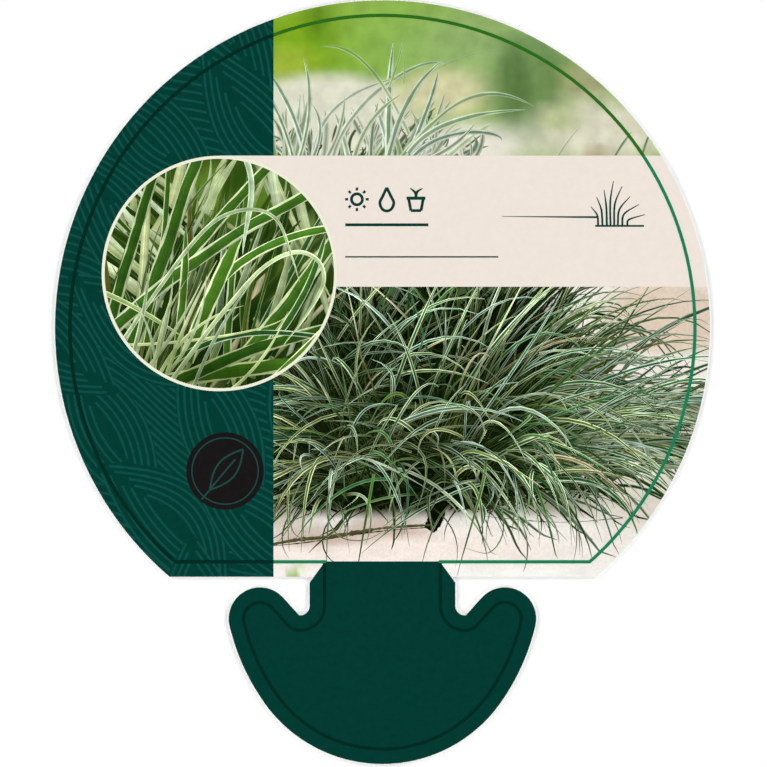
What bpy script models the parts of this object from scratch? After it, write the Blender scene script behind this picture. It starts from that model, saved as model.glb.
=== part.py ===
"""A plant label cut from one sheet of plastic: a round printed head on a barbed tongue.

The tongue is pushed through the slot in a flower pot's rim, its two barbs spring out behind the rim, and the
straight neck sits in the slot. Blender 4.5, metres, +Z up. The label lies on its back with its printed face up,
its head towards +Y and its tongue towards -Y. The origin is the middle of its outline, on the underside.
"""

import math

import bmesh
import bpy

MM = 0.001

# Driving dimensions, in millimetres
THICKNESS = 0.5
HEAD_RADIUS = 45.0
LENGTH = 104.9  # from the top of the head to the tip of the tongue
HEAD_CUT = 34.2  # from the head's centre down to its straight lower edge
NECK_WIDTH = 20.1
NECK_TOP_WIDTH = 19.0  # where the neck leaves the head, above a short flare
FLARE_HEIGHT = 0.75
NOTCH_RADIUS = 1.25
NOTCH_FLOOR = 39.4  # from the head's centre down to the floor of the notches beside the neck
BARB_RADIUS = 4.35
BARB_SLOPE = 42.0  # degrees from upright, of the straight side of each barb that faces the neck
TIP_RADIUS = 19.9  # the round end of the tongue
TIP_HALF_ANGLE = 54.5  # degrees of that round on each side of the middle
FLANK_RADIUS = 30.5  # the flatter side of the tongue, from its round end up to the barb
FLANK_END = 76.6  # degrees from straight down, where the flank turns into the barb
CUT_ROUNDING = 0.05  # the die presses the cut edge slightly round

ARC_STEP = 2.5  # degrees between the points of the large arcs
SMALL_ARC_STEP = 9.0  # degrees between the points of the barbs and notches
SHEET_COLOUR = (0.86, 0.87, 0.84, 1.0)


def polar(centre, radius, degrees):
    angle = math.radians(degrees)
    return (
        centre[0] + radius * math.cos(angle),
        centre[1] + radius * math.sin(angle),
    )


def arc(centre, radius, start, end, step):
    """Points along an arc from start to end, in degrees counted anticlockwise from +X, with both ends."""
    count = max(2, round(abs(end - start) / step))
    return [
        polar(centre, radius, start + (end - start) * i / count)
        for i in range(count + 1)
    ]


def tongue_arcs():
    """Centres of the tongue's three tangent arcs on the right-hand side: round end, flank and barb."""
    tip_centre = (0.0, HEAD_RADIUS - LENGTH + TIP_RADIUS)
    flank_start = polar(tip_centre, TIP_RADIUS, TIP_HALF_ANGLE - 90)
    flank_centre = polar(flank_start, FLANK_RADIUS, TIP_HALF_ANGLE + 90)
    barb_centre = polar(flank_centre, FLANK_RADIUS - BARB_RADIUS, FLANK_END - 90)
    return tip_centre, flank_centre, barb_centre


def right_half():
    """The right half of the outline, clockwise from the top of the head to the tip of the tongue.

    Points are in millimetres from the head's centre.
    """
    head_end = -math.degrees(math.asin(HEAD_CUT / HEAD_RADIUS))
    points = arc((0, 0), HEAD_RADIUS, 90, head_end, ARC_STEP)
    points += [
        (NECK_TOP_WIDTH / 2, -HEAD_CUT),
        (NECK_WIDTH / 2, -HEAD_CUT - FLARE_HEIGHT),
    ]
    notch_centre = (NECK_WIDTH / 2 + NOTCH_RADIUS, NOTCH_RADIUS - NOTCH_FLOOR)
    points += arc(notch_centre, NOTCH_RADIUS, 180, 270, SMALL_ARC_STEP)

    tip_centre, flank_centre, barb_centre = tongue_arcs()
    slope_normal = 180 - BARB_SLOPE
    slope_top = polar(barb_centre, BARB_RADIUS, slope_normal)
    slope_run = (slope_top[1] + NOTCH_FLOOR) * math.tan(math.radians(BARB_SLOPE))
    points.append((slope_top[0] - slope_run, -NOTCH_FLOOR))
    points += arc(
        barb_centre, BARB_RADIUS, slope_normal, FLANK_END - 90, SMALL_ARC_STEP
    )
    points += arc(
        flank_centre, FLANK_RADIUS, FLANK_END - 90, TIP_HALF_ANGLE - 90, ARC_STEP
    )[1:]
    points += arc(tip_centre, TIP_RADIUS, TIP_HALF_ANGLE - 90, -90, ARC_STEP)[1:]
    return points


def outline():
    """The whole outline, anticlockwise, in metres from the middle of the label."""
    right = right_half()
    left = [(-x, y) for x, y in right[1:-1]]
    head_centre_y = LENGTH / 2 - HEAD_RADIUS
    return [(x * MM, (y + head_centre_y) * MM) for x, y in left + right[::-1]]


def cut_sheet():
    """The sheet as one solid: the outline extruded to its thickness, with its cut edges slightly rounded."""
    bm = bmesh.new()
    underside = bm.faces.new([bm.verts.new((x, y, 0.0)) for x, y in outline()])
    raised = bmesh.ops.extrude_face_region(bm, geom=[underside])["geom"]
    corners = [v for v in raised if isinstance(v, bmesh.types.BMVert)]
    bmesh.ops.translate(bm, verts=corners, vec=(0, 0, THICKNESS * MM))
    bmesh.ops.recalc_face_normals(bm, faces=bm.faces)
    rims = [e for e in bm.edges if abs(e.verts[0].co.z - e.verts[1].co.z) < MM / 100]
    bmesh.ops.bevel(
        bm,
        geom=rims,
        offset=CUT_ROUNDING * MM,
        segments=1,
        affect="EDGES",
        clamp_overlap=True,
    )
    bmesh.ops.triangulate(bm, faces=bm.faces)
    mesh = bpy.data.meshes.new("label_sheet")
    bm.to_mesh(mesh)
    bm.free()
    return mesh


def plastic():
    """White polypropylene, satin from the roll it was pressed on."""
    material = bpy.data.materials.new("white_polypropylene")
    material.use_nodes = True
    shader = material.node_tree.nodes["Principled BSDF"]
    shader.inputs["Base Color"].default_value = SHEET_COLOUR
    shader.inputs["Roughness"].default_value = 0.38
    shader.inputs["Metallic"].default_value = 0.0
    return material


def main():
    for existing in list(bpy.data.objects):
        bpy.data.objects.remove(existing)
    mesh = cut_sheet()
    mesh.materials.append(plastic())
    sheet = bpy.data.objects.new("label_sheet", mesh)
    bpy.context.scene.collection.objects.link(sheet)


main()
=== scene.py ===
"""Looks of a printed plastic plant label, laid out as a Blender add-on and run as a script.

The sheet itself is the CAD node. Each print on it is a flat piece a few hundredths of a millimetre above its
upper face: a green panel with a line pattern, two parts of a grass picture, a cream band with signs, a round
close-up in a ring, the green tongue and the thin line that follows the cut edge.
"""

import math

import bmesh
import bpy
import numpy as np
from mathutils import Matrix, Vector
from mathutils.geometry import delaunay_2d_cdt


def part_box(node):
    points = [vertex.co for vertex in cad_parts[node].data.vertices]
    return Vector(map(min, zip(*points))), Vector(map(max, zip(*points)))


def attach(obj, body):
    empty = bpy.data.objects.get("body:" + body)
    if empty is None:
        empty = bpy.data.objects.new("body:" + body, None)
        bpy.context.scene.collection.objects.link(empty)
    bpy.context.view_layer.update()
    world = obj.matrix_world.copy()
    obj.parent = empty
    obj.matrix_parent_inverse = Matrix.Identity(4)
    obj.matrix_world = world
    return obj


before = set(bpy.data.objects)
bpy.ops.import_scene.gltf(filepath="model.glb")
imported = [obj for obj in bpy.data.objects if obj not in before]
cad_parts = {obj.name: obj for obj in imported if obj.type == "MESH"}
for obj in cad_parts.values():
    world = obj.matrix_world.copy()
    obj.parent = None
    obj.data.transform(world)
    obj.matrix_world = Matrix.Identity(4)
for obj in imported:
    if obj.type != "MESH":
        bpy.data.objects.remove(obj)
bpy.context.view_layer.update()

bl_info = {
    "name": "Plant Label Print",
    "version": (1, 0, 0),
    "blender": (4, 5, 0),
    "location": "3D View > Sidebar > Label",
    "description": "Prints a plastic plant label with a panel, a grass picture, a band and a close-up",
    "category": "Object",
}

MM = 0.001
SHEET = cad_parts["label_sheet"]
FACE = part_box("label_sheet")[1].z  # the height of the printed face

# The sheet's own places, in mm from the origin
HEAD_CUT_Y = -26.75  # the head's straight lower edge
CUT_ROUNDING = 0.05  # the printed face ends this far inside the cut edge
FLARE = (9.44, -26.75)  # where the neck's flare meets the head, inside the cut edge
FLARE_NORMAL = (0.75, 0.55)  # points out of the flare's slanting edge
NECK_SIDE = 10.0  # the neck's straight side below the flare
NOTCH = (11.43, -32.0)  # the corner of the printed face between a notch floor and the barb

# The prints lie over each other, from the lowest to the topmost
LAYER = 0.006  # mm from one layer to the next; no print has layer 2 or 6
PICTURE_LAYER = PANEL_LAYER = 1
BAND_LAYER = DISC_LAYER = 3
CLOSE_UP_LAYER = SIGN_LAYER = 4
RING_LAYER = TONGUE_LAYER = 5
LINE_LAYER = 7

# Colours and nodes


def linear(code):
    """An sRGB hex colour as linear red, green, blue and alpha."""
    parts = [int(code[i : i + 2], 16) / 255 for i in (1, 3, 5)]
    return (
        *[c / 12.92 if c <= 0.04045 else ((c + 0.055) / 1.055) ** 2.4 for c in parts],
        1.0,
    )


def add_node(tree, kind, inputs=None, **settings):
    """Adds a node, sets it up, and gives each named or numbered input a value or a link."""
    made = tree.nodes.new(kind)
    for name, value in settings.items():
        setattr(made, name, value)
    for name, value in (inputs or {}).items():
        if isinstance(value, bpy.types.NodeSocket):
            tree.links.new(value, made.inputs[name])
        else:
            made.inputs[name].default_value = value
    return made


def new_material(name):
    """A new material, its node tree and its shader."""
    material = bpy.data.materials.new(name)
    material.use_nodes = True
    return material, material.node_tree, material.node_tree.nodes["Principled BSDF"]


def set_ramp(ramp, places, codes):
    """Gives a colour ramp node its colours at their places."""
    elements = ramp.color_ramp.elements
    while len(elements) > 1:
        elements.remove(elements[-1])
    elements[0].position, elements[0].color = places[0], linear(codes[0])
    for place, code in zip(places[1:], codes[1:]):
        elements.new(place).color = linear(code)


PLASTIC_IOR = 1.49  # of polypropylene, and of the acrylic varnish over the inks


def varnish(tree, shader, place):
    """The press's clear varnish: glossy, with a faint orange-peel wave 1.5 mm across."""
    wave = add_node(
        tree,
        "ShaderNodeTexNoise",
        {"Vector": place, "Scale": 650.0, "Detail": 2.0, "Roughness": 0.5},
    )
    bump = add_node(
        tree,
        "ShaderNodeBump",
        {"Height": wave.outputs["Fac"], "Strength": 0.05, "Distance": 0.00005},
    )
    rough = add_node(
        tree,
        "ShaderNodeMapRange",
        {"Value": wave.outputs["Fac"], "To Min": 0.18, "To Max": 0.24},
    )
    tree.links.new(bump.outputs["Normal"], shader.inputs["Normal"])
    tree.links.new(rough.outputs["Result"], shader.inputs["Roughness"])
    shader.inputs["IOR"].default_value = PLASTIC_IOR
    shader.inputs["Metallic"].default_value = 0.0


def flat_ink(name, colour, mottle=0.05):
    """A flat offset ink: a solid tone with the faint cloudy mottle that ink takes on plastic.

    Press mottle is 0.2 to 1 mm across; it is drawn about 0.8 mm across so that a pixel shows it.
    """
    material, tree, shader = new_material(name)
    place = add_node(tree, "ShaderNodeTexCoord").outputs["Object"]
    cloud = add_node(
        tree,
        "ShaderNodeTexNoise",
        {"Vector": place, "Scale": 1250.0, "Detail": 3.0, "Roughness": 0.6},
    )
    reach = {"From Min": 0.3, "From Max": 0.7, "To Min": 1 - mottle, "To Max": 1 + mottle}
    gain = add_node(tree, "ShaderNodeMapRange", {"Value": cloud.outputs["Fac"], **reach})
    tone = add_node(
        tree,
        "ShaderNodeVectorMath",
        {0: colour[:3], "Scale": gain.outputs["Result"]},
        operation="SCALE",
    )
    tree.links.new(tone.outputs["Vector"], shader.inputs["Base Color"])
    varnish(tree, shader, place)
    return material


def white_polypropylene():
    """Extruded white polypropylene sheet, pressed between satin rolls: milky, soft and slightly waxy."""
    material, tree, shader = new_material("extruded_white_polypropylene")
    place = add_node(tree, "ShaderNodeTexCoord").outputs["Object"]
    milk = add_node(
        tree,
        "ShaderNodeTexNoise",
        {"Vector": place, "Scale": 180.0, "Detail": 3.0},
    )
    tone = add_node(
        tree,
        "ShaderNodeMix",
        {"Factor": milk.outputs["Fac"], "A": linear("#E6E8E2"), "B": linear("#F1F2ED")},
        data_type="RGBA",
    )
    # satin rolls leave pits 0.05 to 0.1 mm across, drawn 0.25 mm across so that a pixel shows them
    grain = add_node(
        tree,
        "ShaderNodeTexNoise",
        {"Vector": place, "Scale": 4000.0, "Detail": 2.0},
    )
    bump = add_node(
        tree,
        "ShaderNodeBump",
        {"Height": grain.outputs["Fac"], "Strength": 0.12, "Distance": 0.00003},
    )
    rough = add_node(
        tree,
        "ShaderNodeMapRange",
        {"Value": grain.outputs["Fac"], "To Min": 0.34, "To Max": 0.46},
    )
    tree.links.new(tone.outputs["Result"], shader.inputs["Base Color"])
    tree.links.new(bump.outputs["Normal"], shader.inputs["Normal"])
    tree.links.new(rough.outputs["Result"], shader.inputs["Roughness"])
    shader.inputs["IOR"].default_value = PLASTIC_IOR
    shader.inputs["Metallic"].default_value = 0.0
    shader.inputs["Subsurface Weight"].default_value = 0.15
    shader.inputs["Subsurface Scale"].default_value = 0.0005
    return material


HUES = (0.02, 0.15, 0.5, 0.85)  # withered, olive, plain green and blue-green blades
WHITE = (1.0, 1.0, 1.0, 1.0)
LEAF_FILTER = (0.84, 1.02, 0.36, 1.0)  # the share of red, green and blue light that passes through leaves
STRATA = (1.0, 2.6, 1.0)  # flattens a stone's noise into layers

# For each kind of node in the pictures' drawing: what its setting is called, and its inputs in order
KINDS = {
    "TexNoise": ("noise_dimensions", ("Vector", "Scale", "Detail")),
    "MapRange": ("interpolation_type", ("Value", "From Min", "From Max", "To Min", "To Max")),
    "Math": ("operation", (0, 1, 2)),
    "VectorMath": ("operation", (0, 1)),
    "Mix": ("data_type", ("Factor", "A", "B")),
}


def picture_ink(name, centres, margins, shade, edge, dusk):
    """A four-colour offset picture of variegated grass, which the varnish makes glossy.

    centres and margins have a colour for each of HUES, and shade is the tone that blades sink into. The
    faces carry what the printing plates held: "leaf" is the place across and along a blade, "ink" is light,
    hue, plainness (below 0 a blade is pale all over) and blur, and "back" is what lies behind. The nodes draw
    from them each blade's cream margins, green middle, fold and fine veins, sink it into shadow, and blur it
    into what lies behind. edge is the range in which a margin begins, from the middle of a blade at 0 to its
    side at 1. Below the light given by dusk the shade turns green, as it does under leaves.
    """
    material, tree, shader = new_material(name)
    place = add_node(tree, "ShaderNodeTexCoord").outputs["Object"]
    layers = add_node(tree, "ShaderNodeMapping", {"Vector": place, "Scale": STRATA}).outputs["Vector"]
    ink = add_node(tree, "ShaderNodeAttribute", attribute_name="ink").outputs
    back = add_node(tree, "ShaderNodeAttribute", attribute_name="back").outputs
    plate = add_node(tree, "ShaderNodeSeparateColor", {"Color": ink["Color"]}).outputs
    leaf = add_node(tree, "ShaderNodeUVMap", uv_map="leaf").outputs["UV"]
    leaf = add_node(tree, "ShaderNodeSeparateXYZ", {"Vector": leaf}).outputs
    hue, across, along = plate["Green"], leaf["X"], leaf["Y"]
    # a large multiple of its hue sets each blade apart from the others
    own = add_node(tree, "ShaderNodeMath", {0: hue, 1: 91.0}, operation="MULTIPLY").outputs["Value"]
    lengthwise = add_node(tree, "ShaderNodeCombineXYZ", {"X": along, "Y": own}).outputs["Vector"]
    crosswise = add_node(tree, "ShaderNodeCombineXYZ", {"X": across, "Y": own}).outputs["Vector"]
    green = add_node(tree, "ShaderNodeValToRGB", {"Fac": hue})
    cream = add_node(tree, "ShaderNodeValToRGB", {"Fac": hue})
    set_ramp(green, HUES, centres)
    set_ramp(cream, HUES, margins)
    known = {
        "place": place,
        "layers": layers,
        "across": across,
        "light": plate["Red"],
        "plain": plate["Blue"],
        "blur": ink["Alpha"],
        "green": green.outputs["Color"],
        "cream": cream.outputs["Color"],
        "ground": back["Color"],
        "stony": back["Alpha"],
        "shade": linear(shade)[:3],
    }

    # noises: result, where it runs, scale, detail, and the values that the middle of the noise spreads over
    for result, vector, scale, detail, low, high in (
        ("off", lengthwise, 0.13, 1.0, -0.22, 0.22),  # the green middle lies off centre
        ("inner", lengthwise, 0.35, 1.0, *edge),  # the margins' inner edge wanders
        ("veins", crosswise, 6.0, 1.0, 0.8, 1.18),  # about 12 across a blade
        ("passing", lengthwise, 0.55, 2.0, 0.72, 1.22),  # passing shadows along a blade
        ("foliage", place, 420.0, 2.0, 0.88, 1.12),  # blurred leaves behind
    ):
        noise = add_node(tree, "ShaderNodeTexNoise", {"Vector": vector, "Scale": scale, "Detail": detail})
        reach = {"From Min": 0.3, "From Max": 0.7, "To Min": low, "To Max": high}
        spread = add_node(tree, "ShaderNodeMapRange", {"Value": noise.outputs["Fac"], **reach})
        known[result] = spread.outputs["Result"]

    # result, kind of node, its setting, and its inputs, where a word is an earlier result
    held = ("margin", "dark", "soft", "veil")  # results that stay between 0 and 1
    for result, kind, setting, *inputs in (
        ("shifted", "Math", "ADD", "across", "off"),
        ("side", "Math", "ABSOLUTE", "shifted"),
        ("outer", "Math", "ADD", "inner", 0.08),
        ("rim", "MapRange", "LINEAR", "side", "inner", "outer", 0.0, 1.0),
        ("minus", "Math", "MULTIPLY", "plain", -1.0),
        ("pale", "Math", "MAXIMUM", "minus", 0.0),
        ("striped", "Math", "SUBTRACT", 1.0, "plain"),
        ("margin", "Math", "MULTIPLY_ADD", "rim", "striped", "pale"),
        ("blade", "Mix", "RGBA", "margin", "green", "cream"),
        # a folded blade has a light and a dark half
        ("fold", "MapRange", "LINEAR", "across", -0.3, 0.3, 0.82, 1.12),
        ("veined", "Math", "MULTIPLY", "fold", "veins"),
        ("relief", "Math", "MULTIPLY", "veined", "passing"),
        ("day", "MapRange", "LINEAR", "light", 0.0, dusk, 0.0, 1.0),
        ("filter", "Mix", "RGBA", "day", LEAF_FILTER, WHITE),
        ("filtered", "VectorMath", "MULTIPLY", "blade", "filter"),
        ("lit", "Math", "MULTIPLY", "light", "relief"),
        ("shone", "VectorMath", "MULTIPLY", "filtered", "lit"),
        ("dark", "Math", "SUBTRACT", 1.0, "light"),
        ("sunk", "VectorMath", "MULTIPLY", "shade", "dark"),
        ("drawn", "VectorMath", "ADD", "shone", "sunk"),
        # behind the blades lies blurred foliage, or stone with its strata and pores where the plate says so
        ("strata", "TexNoise", "3D", "layers", 240.0, 4.0),
        ("pores", "TexNoise", "3D", "place", 2400.0, 2.0),
        ("rock", "Math", "ADD", "strata", "pores"),
        ("stone", "MapRange", "LINEAR", "rock", 0.8, 1.2, 0.92, 1.04),
        ("weight", "Mix", "FLOAT", "stony", "foliage", "stone"),
        ("behind", "VectorMath", "MULTIPLY", "ground", "weight"),
        # a blurred blade fades towards its edges
        ("middle", "Math", "ABSOLUTE", "across"),
        ("squared", "Math", "POWER", "middle", 2.0),
        ("soft", "Math", "MULTIPLY", "blur", 3.0),
        ("fade", "Math", "MULTIPLY", "squared", "soft"),
        ("sharp", "Math", "SUBTRACT", 1.0, "blur"),
        ("veil", "Math", "MULTIPLY_ADD", "fade", "sharp", "blur"),
        ("seen", "Mix", "RGBA", "veil", "drawn", "behind"),
    ):
        title, sockets = KINDS[kind]
        values = [known[value] if isinstance(value, str) else value for value in inputs]
        made = add_node(tree, "ShaderNode" + kind, dict(zip(sockets, values)), **{title: setting})
        if result in held:
            made.use_clamp = True
        known[result] = next(socket for socket in made.outputs if socket.enabled)
    tree.links.new(known["seen"], shader.inputs["Base Color"])
    varnish(tree, shader, place)
    return material


# Modelling


def take(piece):
    """Makes a piece the only selected and the active object, and enters edit mode on it."""
    bpy.ops.object.select_all(action="DESELECT")
    piece.select_set(True)
    bpy.context.view_layer.objects.active = piece
    bpy.ops.object.mode_set(mode="EDIT")
    bpy.ops.mesh.select_mode(type="FACE")


def pick(test):
    """Selects the faces of the mesh in edit mode that pass a test."""
    mesh = bpy.context.object.data
    shape = bmesh.from_edit_mesh(mesh)
    for face in shape.faces:
        face.select_set(test(face))
    shape.select_flush(False)
    bmesh.update_edit_mesh(mesh)


def trim(axis, limit, sign):
    """Cuts the mesh in edit mode at a coordinate in mm and drops what lies beyond it."""
    place, normal = [0.0, 0.0, 0.0], [0.0, 0.0, 0.0]
    place[axis], normal[axis] = limit * MM, sign
    bpy.ops.mesh.select_all(action="SELECT")
    bpy.ops.mesh.bisect(plane_co=place, plane_no=normal, clear_outer=True)


def printed_face(name, layer):
    """A flat copy of the sheet's upper face in edit mode, all selected, raised by some print layers."""
    piece = bpy.data.objects.new(name, SHEET.data.copy())
    piece.data.name = name
    piece.data.materials.clear()
    bpy.context.scene.collection.objects.link(piece)
    take(piece)
    bpy.ops.mesh.select_all(action="SELECT")
    bpy.ops.mesh.remove_doubles(threshold=1e-6)
    pick(lambda face: face.normal.z < 0.99)
    bpy.ops.mesh.delete(type="FACE")
    bpy.ops.mesh.select_all(action="SELECT")
    bpy.ops.mesh.dissolve_limited(angle_limit=0.001)
    bpy.ops.mesh.select_all(action="SELECT")
    bpy.ops.transform.translate(value=(0, 0, layer * LAYER * MM))
    return piece


def disc(name, centre, radius, layer, count=128):
    """A flat round face in edit mode, all selected."""
    bpy.ops.object.select_all(action="DESELECT")
    bpy.ops.mesh.primitive_circle_add(
        vertices=count,
        radius=radius * MM,
        fill_type="NGON",
        location=(centre[0] * MM, centre[1] * MM, FACE + layer * LAYER * MM),
    )
    piece = bpy.context.object
    piece.name = piece.data.name = name
    bpy.ops.object.transform_apply(location=True, rotation=False, scale=False)
    take(piece)
    bpy.ops.mesh.select_all(action="SELECT")
    return piece


def outline_of(piece):
    """The corners of a piece's largest face, in mm, anticlockwise."""
    if piece.mode == "EDIT":
        bpy.ops.object.mode_set(mode="OBJECT")
    face = max(piece.data.polygons, key=lambda f: f.area)
    corners = np.array([piece.data.vertices[i].co[:2] for i in face.vertices]) / MM
    return corners[::-1] if face.normal.z < 0 else corners


def finish_piece(piece, slot, *materials):
    """Makes the faces triangles, adds the bake map and the materials, and lets the piece ride."""
    if piece.mode != "EDIT":
        take(piece)
    bpy.ops.mesh.select_all(action="SELECT")
    bpy.ops.mesh.quads_convert_to_tris()
    bpy.ops.object.mode_set(mode="OBJECT")
    mesh = piece.data
    if mesh.polygons and mesh.polygons[0].normal.z < 0:
        mesh.flip_normals()
    for material in materials:
        mesh.materials.append(material)
    flat_map(mesh)
    bpy.ops.object.select_all(action="DESELECT")
    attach(piece, "root")


def flat_map(mesh):
    """Gives a mesh a bake map that looks straight down on it, and drops all other maps but the blades'."""
    for layer in [each for each in mesh.uv_layers if each.name != "leaf"]:
        mesh.uv_layers.remove(layer)
    co = np.zeros(len(mesh.vertices) * 3)
    mesh.vertices.foreach_get("co", co)
    co = co.reshape(-1, 3)[:, :2]
    low, high = co.min(0), co.max(0)
    corner = np.zeros(len(mesh.loops), np.int32)
    mesh.loops.foreach_get("vertex_index", corner)
    flat = (co[corner] - low) / (high - low).max() * 0.98 + 0.01  # with a border of one hundredth
    mesh.uv_layers.new(name="OFBake").data.foreach_set("uv", flat.ravel())
    mesh.uv_layers["OFBake"].active_render = True


# Cutting overlapping shapes apart


def clip(shape, x0, y0, x1, y1):
    """The part of a convex outline inside a rectangle."""
    for axis, limit, sign in ((0, x0, 1), (0, x1, -1), (1, y0, 1), (1, y1, -1)):
        kept = []
        for i, p in enumerate(shape):
            q = shape[i - 1]
            dp, dq = (p[axis] - limit) * sign, (q[axis] - limit) * sign
            if (dp >= 0) != (dq >= 0):
                t = dq / (dq - dp)
                kept.append((q[0] + (p[0] - q[0]) * t, q[1] + (p[1] - q[1]) * t))
            if dp >= 0:
                kept.append((p[0], p[1]))
        shape = kept
        if len(shape) < 3:
            return []
    return shape


def anticlockwise(quads):
    """The quads, with the corners of each in anticlockwise order."""
    turn = np.roll(quads, -1, 1)
    area = (quads[:, :, 0] * turn[:, :, 1] - turn[:, :, 0] * quads[:, :, 1]).sum(1)
    quads = quads.copy()
    quads[area < 0] = quads[area < 0][:, ::-1]
    return quads


def left_of(outlines, x, y):
    """How far points lie to the left of each edge of some outlines, with the edges along the last axis."""
    edge = np.roll(outlines, -1, -2) - outlines
    across, up = x[..., None] - outlines[..., 0], y[..., None] - outlines[..., 1]
    return edge[..., 0] * up - edge[..., 1] * across


def showing(quads, low, high, cell=0.04, least=3):
    """Numbers of the quads that show from above, where later ones lie on top of earlier ones.

    Quads are laid into a raster of cells, in mm, and one that keeps fewer than the least number is left out.
    """
    nx, ny = ((np.array(high) - low) // cell + 1).astype(int)
    top = np.full((ny, nx), -1, np.int32)
    xs = low[0] + (np.arange(nx) + 0.5) * cell
    ys = low[1] + (np.arange(ny) + 0.5) * cell
    first = np.maximum(np.floor((quads.min(1) - low) / cell).astype(int), 0)
    last = np.minimum(np.ceil((quads.max(1) - low) / cell).astype(int) + 1, (nx, ny))
    for i, quad in enumerate(quads):
        (a, c), (b, d) = first[i], last[i]
        if a < b and c < d:
            held = (left_of(quad, xs[None, a:b], ys[c:d, None]) >= 0).all(-1)
            top[c:d, a:b][held] = i
    count = np.bincount((top + 1).ravel(), minlength=len(quads) + 1)[1:]
    return np.nonzero(count >= least)[0]


def holder(points, quads):
    """For each point the last of the quads that holds it, or -1."""
    hit = (left_of(quads, points[:, :1], points[:, 1:]) >= 0).all(-1)
    return np.where(hit.any(1), hit.shape[1] - 1 - np.argmax(hit[:, ::-1], 1), -1)


def borders(points, triangles, owner):
    """Links between points along the edges where the owner changes, with no points inside straight runs."""
    edges = np.concatenate((triangles[:, [0, 1]], triangles[:, [1, 2]], triangles[:, [2, 0]]))
    owners = np.tile(owner, 3)
    key = np.sort(edges, 1)
    key = key[:, 0].astype(np.int64) * len(points) + key[:, 1]
    order = np.argsort(key, kind="stable")
    key, owners = key[order], owners[order]
    first = np.nonzero(np.concatenate(([True], key[1:] != key[:-1])))[0]
    count = np.diff(np.concatenate((first, [len(key)])))
    other = owners[np.minimum(first + 1, len(owners) - 1)]
    key = key[first[(count == 1) | (owners[first] != other)]]
    links = {}
    for p, q in zip((key // len(points)).tolist(), (key % len(points)).tolist()):
        links.setdefault(p, set()).add(q)
        links.setdefault(q, set()).add(p)
    for p in list(links):
        if len(links[p]) != 2:
            continue
        q, r = links[p]
        a, b = points[q] - points[p], points[r] - points[p]
        straight = abs(a.x * b.y - a.y * b.x) < 2e-4 * (a.length + b.length)
        if straight and a.dot(b) < 0 and r not in links[q]:
            for one, two in ((q, r), (r, q)):
                links[one].discard(p)
                links[one].add(two)
            del links[p]
    return links


def cut_tile(quads, near, field, box):
    """Cuts a convex field along the borders of the quads near it.

    Returns the same as cut_apart.
    """
    corners, faces, numbers = list(field), [list(range(len(field)))], []
    for number in near.tolist():
        part = clip(quads[number].tolist(), *box)
        if part:
            faces.append(list(range(len(corners), len(corners) + len(part))))
            corners += part
            numbers.append(number)
    # the first cut is along every outline, and the second only along borders between what shows
    flat, _, cells, _, _, held = delaunay_2d_cdt([Vector(c) for c in corners], [], faces, 1, 1e-5, True)
    top = np.array([max(ids) if 0 in ids else -1 for ids in held])
    cells = np.array([tuple(c) for c in cells])[top >= 0]
    links = borders(flat, cells, top[top >= 0])
    place = {p: k for k, p in enumerate(links)}
    edges = [(place[p], place[q]) for p in links for q in links[p] if p < q]
    flat, _, cells, *_ = delaunay_2d_cdt([flat[p] for p in place], edges, [], 0, 1e-6, False)
    flat = np.array([tuple(p) for p in flat])
    cells = np.array([tuple(c) for c in cells])
    middle = flat[cells].mean(1)
    own = np.full(len(cells), -1)
    if numbers:
        found = holder(middle, quads[numbers])
        own = np.where(found >= 0, np.array(numbers)[found], -1)
    ok = (left_of(np.array(field), middle[:, 0], middle[:, 1]) >= -1e-9).all(-1)
    return flat, cells[ok], own[ok]


def cut_apart(quads, region, tile=2.0):
    """Cuts a pile of overlapping quads into the flat parts that show from above inside a convex region.

    Returns the points, the triangles, and for each triangle the number of its quad, or -1 for none.
    """
    low, high = region.min(0), region.max(0)
    least, most = quads.min(1), quads.max(1)
    points, triangles, owners, total = [], [], [], 0
    for x0 in np.arange(low[0], high[0], tile):
        for y0 in np.arange(low[1], high[1], tile):
            box = (x0, y0, min(x0 + tile, high[0]), min(y0 + tile, high[1]))
            field = clip(region.tolist(), *box)
            if not field:
                continue
            near = np.nonzero((least < box[2:]).all(1) & (most > box[:2]).all(1))[0]
            flat, cells, own = cut_tile(quads, near, field, box)
            points.append(flat)
            triangles.append(cells + total)
            owners.append(own)
            total += len(flat)
    return np.concatenate(points), np.concatenate(triangles), np.concatenate(owners)


def fill_mesh(piece, points, triangles, layer):
    """Puts cut triangles, in mm, into a piece as its mesh."""
    mesh = bpy.data.meshes.new(piece.name)
    height = FACE + layer * LAYER * MM
    used, triangles = np.unique(triangles, return_inverse=True)
    triangles = triangles.reshape(-1, 3)
    spots = np.column_stack((points[used] * MM, np.full(len(used), height)))
    mesh.from_pydata(spots.tolist(), [], triangles.tolist())
    old, piece.data = piece.data, mesh
    bpy.data.meshes.remove(old)
    mesh.name = piece.name
    return mesh


def print_lines(piece, quads, inks, layer, tile=2.0, ground=True):
    """Turns a cut region into lines on their ground.

    Each quad has the number of its ink, and the ground has 0. Where ground is False, only the lines are kept.
    """
    points, triangles, owner = cut_apart(anticlockwise(quads), outline_of(piece), tile)
    kept = (owner >= 0) | ground
    mesh = fill_mesh(piece, points, triangles[kept], layer)
    numbers = np.where(owner >= 0, inks[owner], 0)[kept]
    mesh.polygons.foreach_set("material_index", numbers.astype(np.int32))


# Strokes and blades


def ribbon(x, y, half):
    """The quads of a ribbon along a line, with half its width at each point."""
    dx, dy = np.gradient(x), np.gradient(y)
    length = np.hypot(dx, dy) + 1e-9
    nx, ny = -dy / length * half, dx / length * half
    left, right = np.stack((x - nx, y - ny), 1), np.stack((x + nx, y + ny), 1)
    return np.stack((right[:-1], left[:-1], left[1:], right[1:]), 1)


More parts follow.
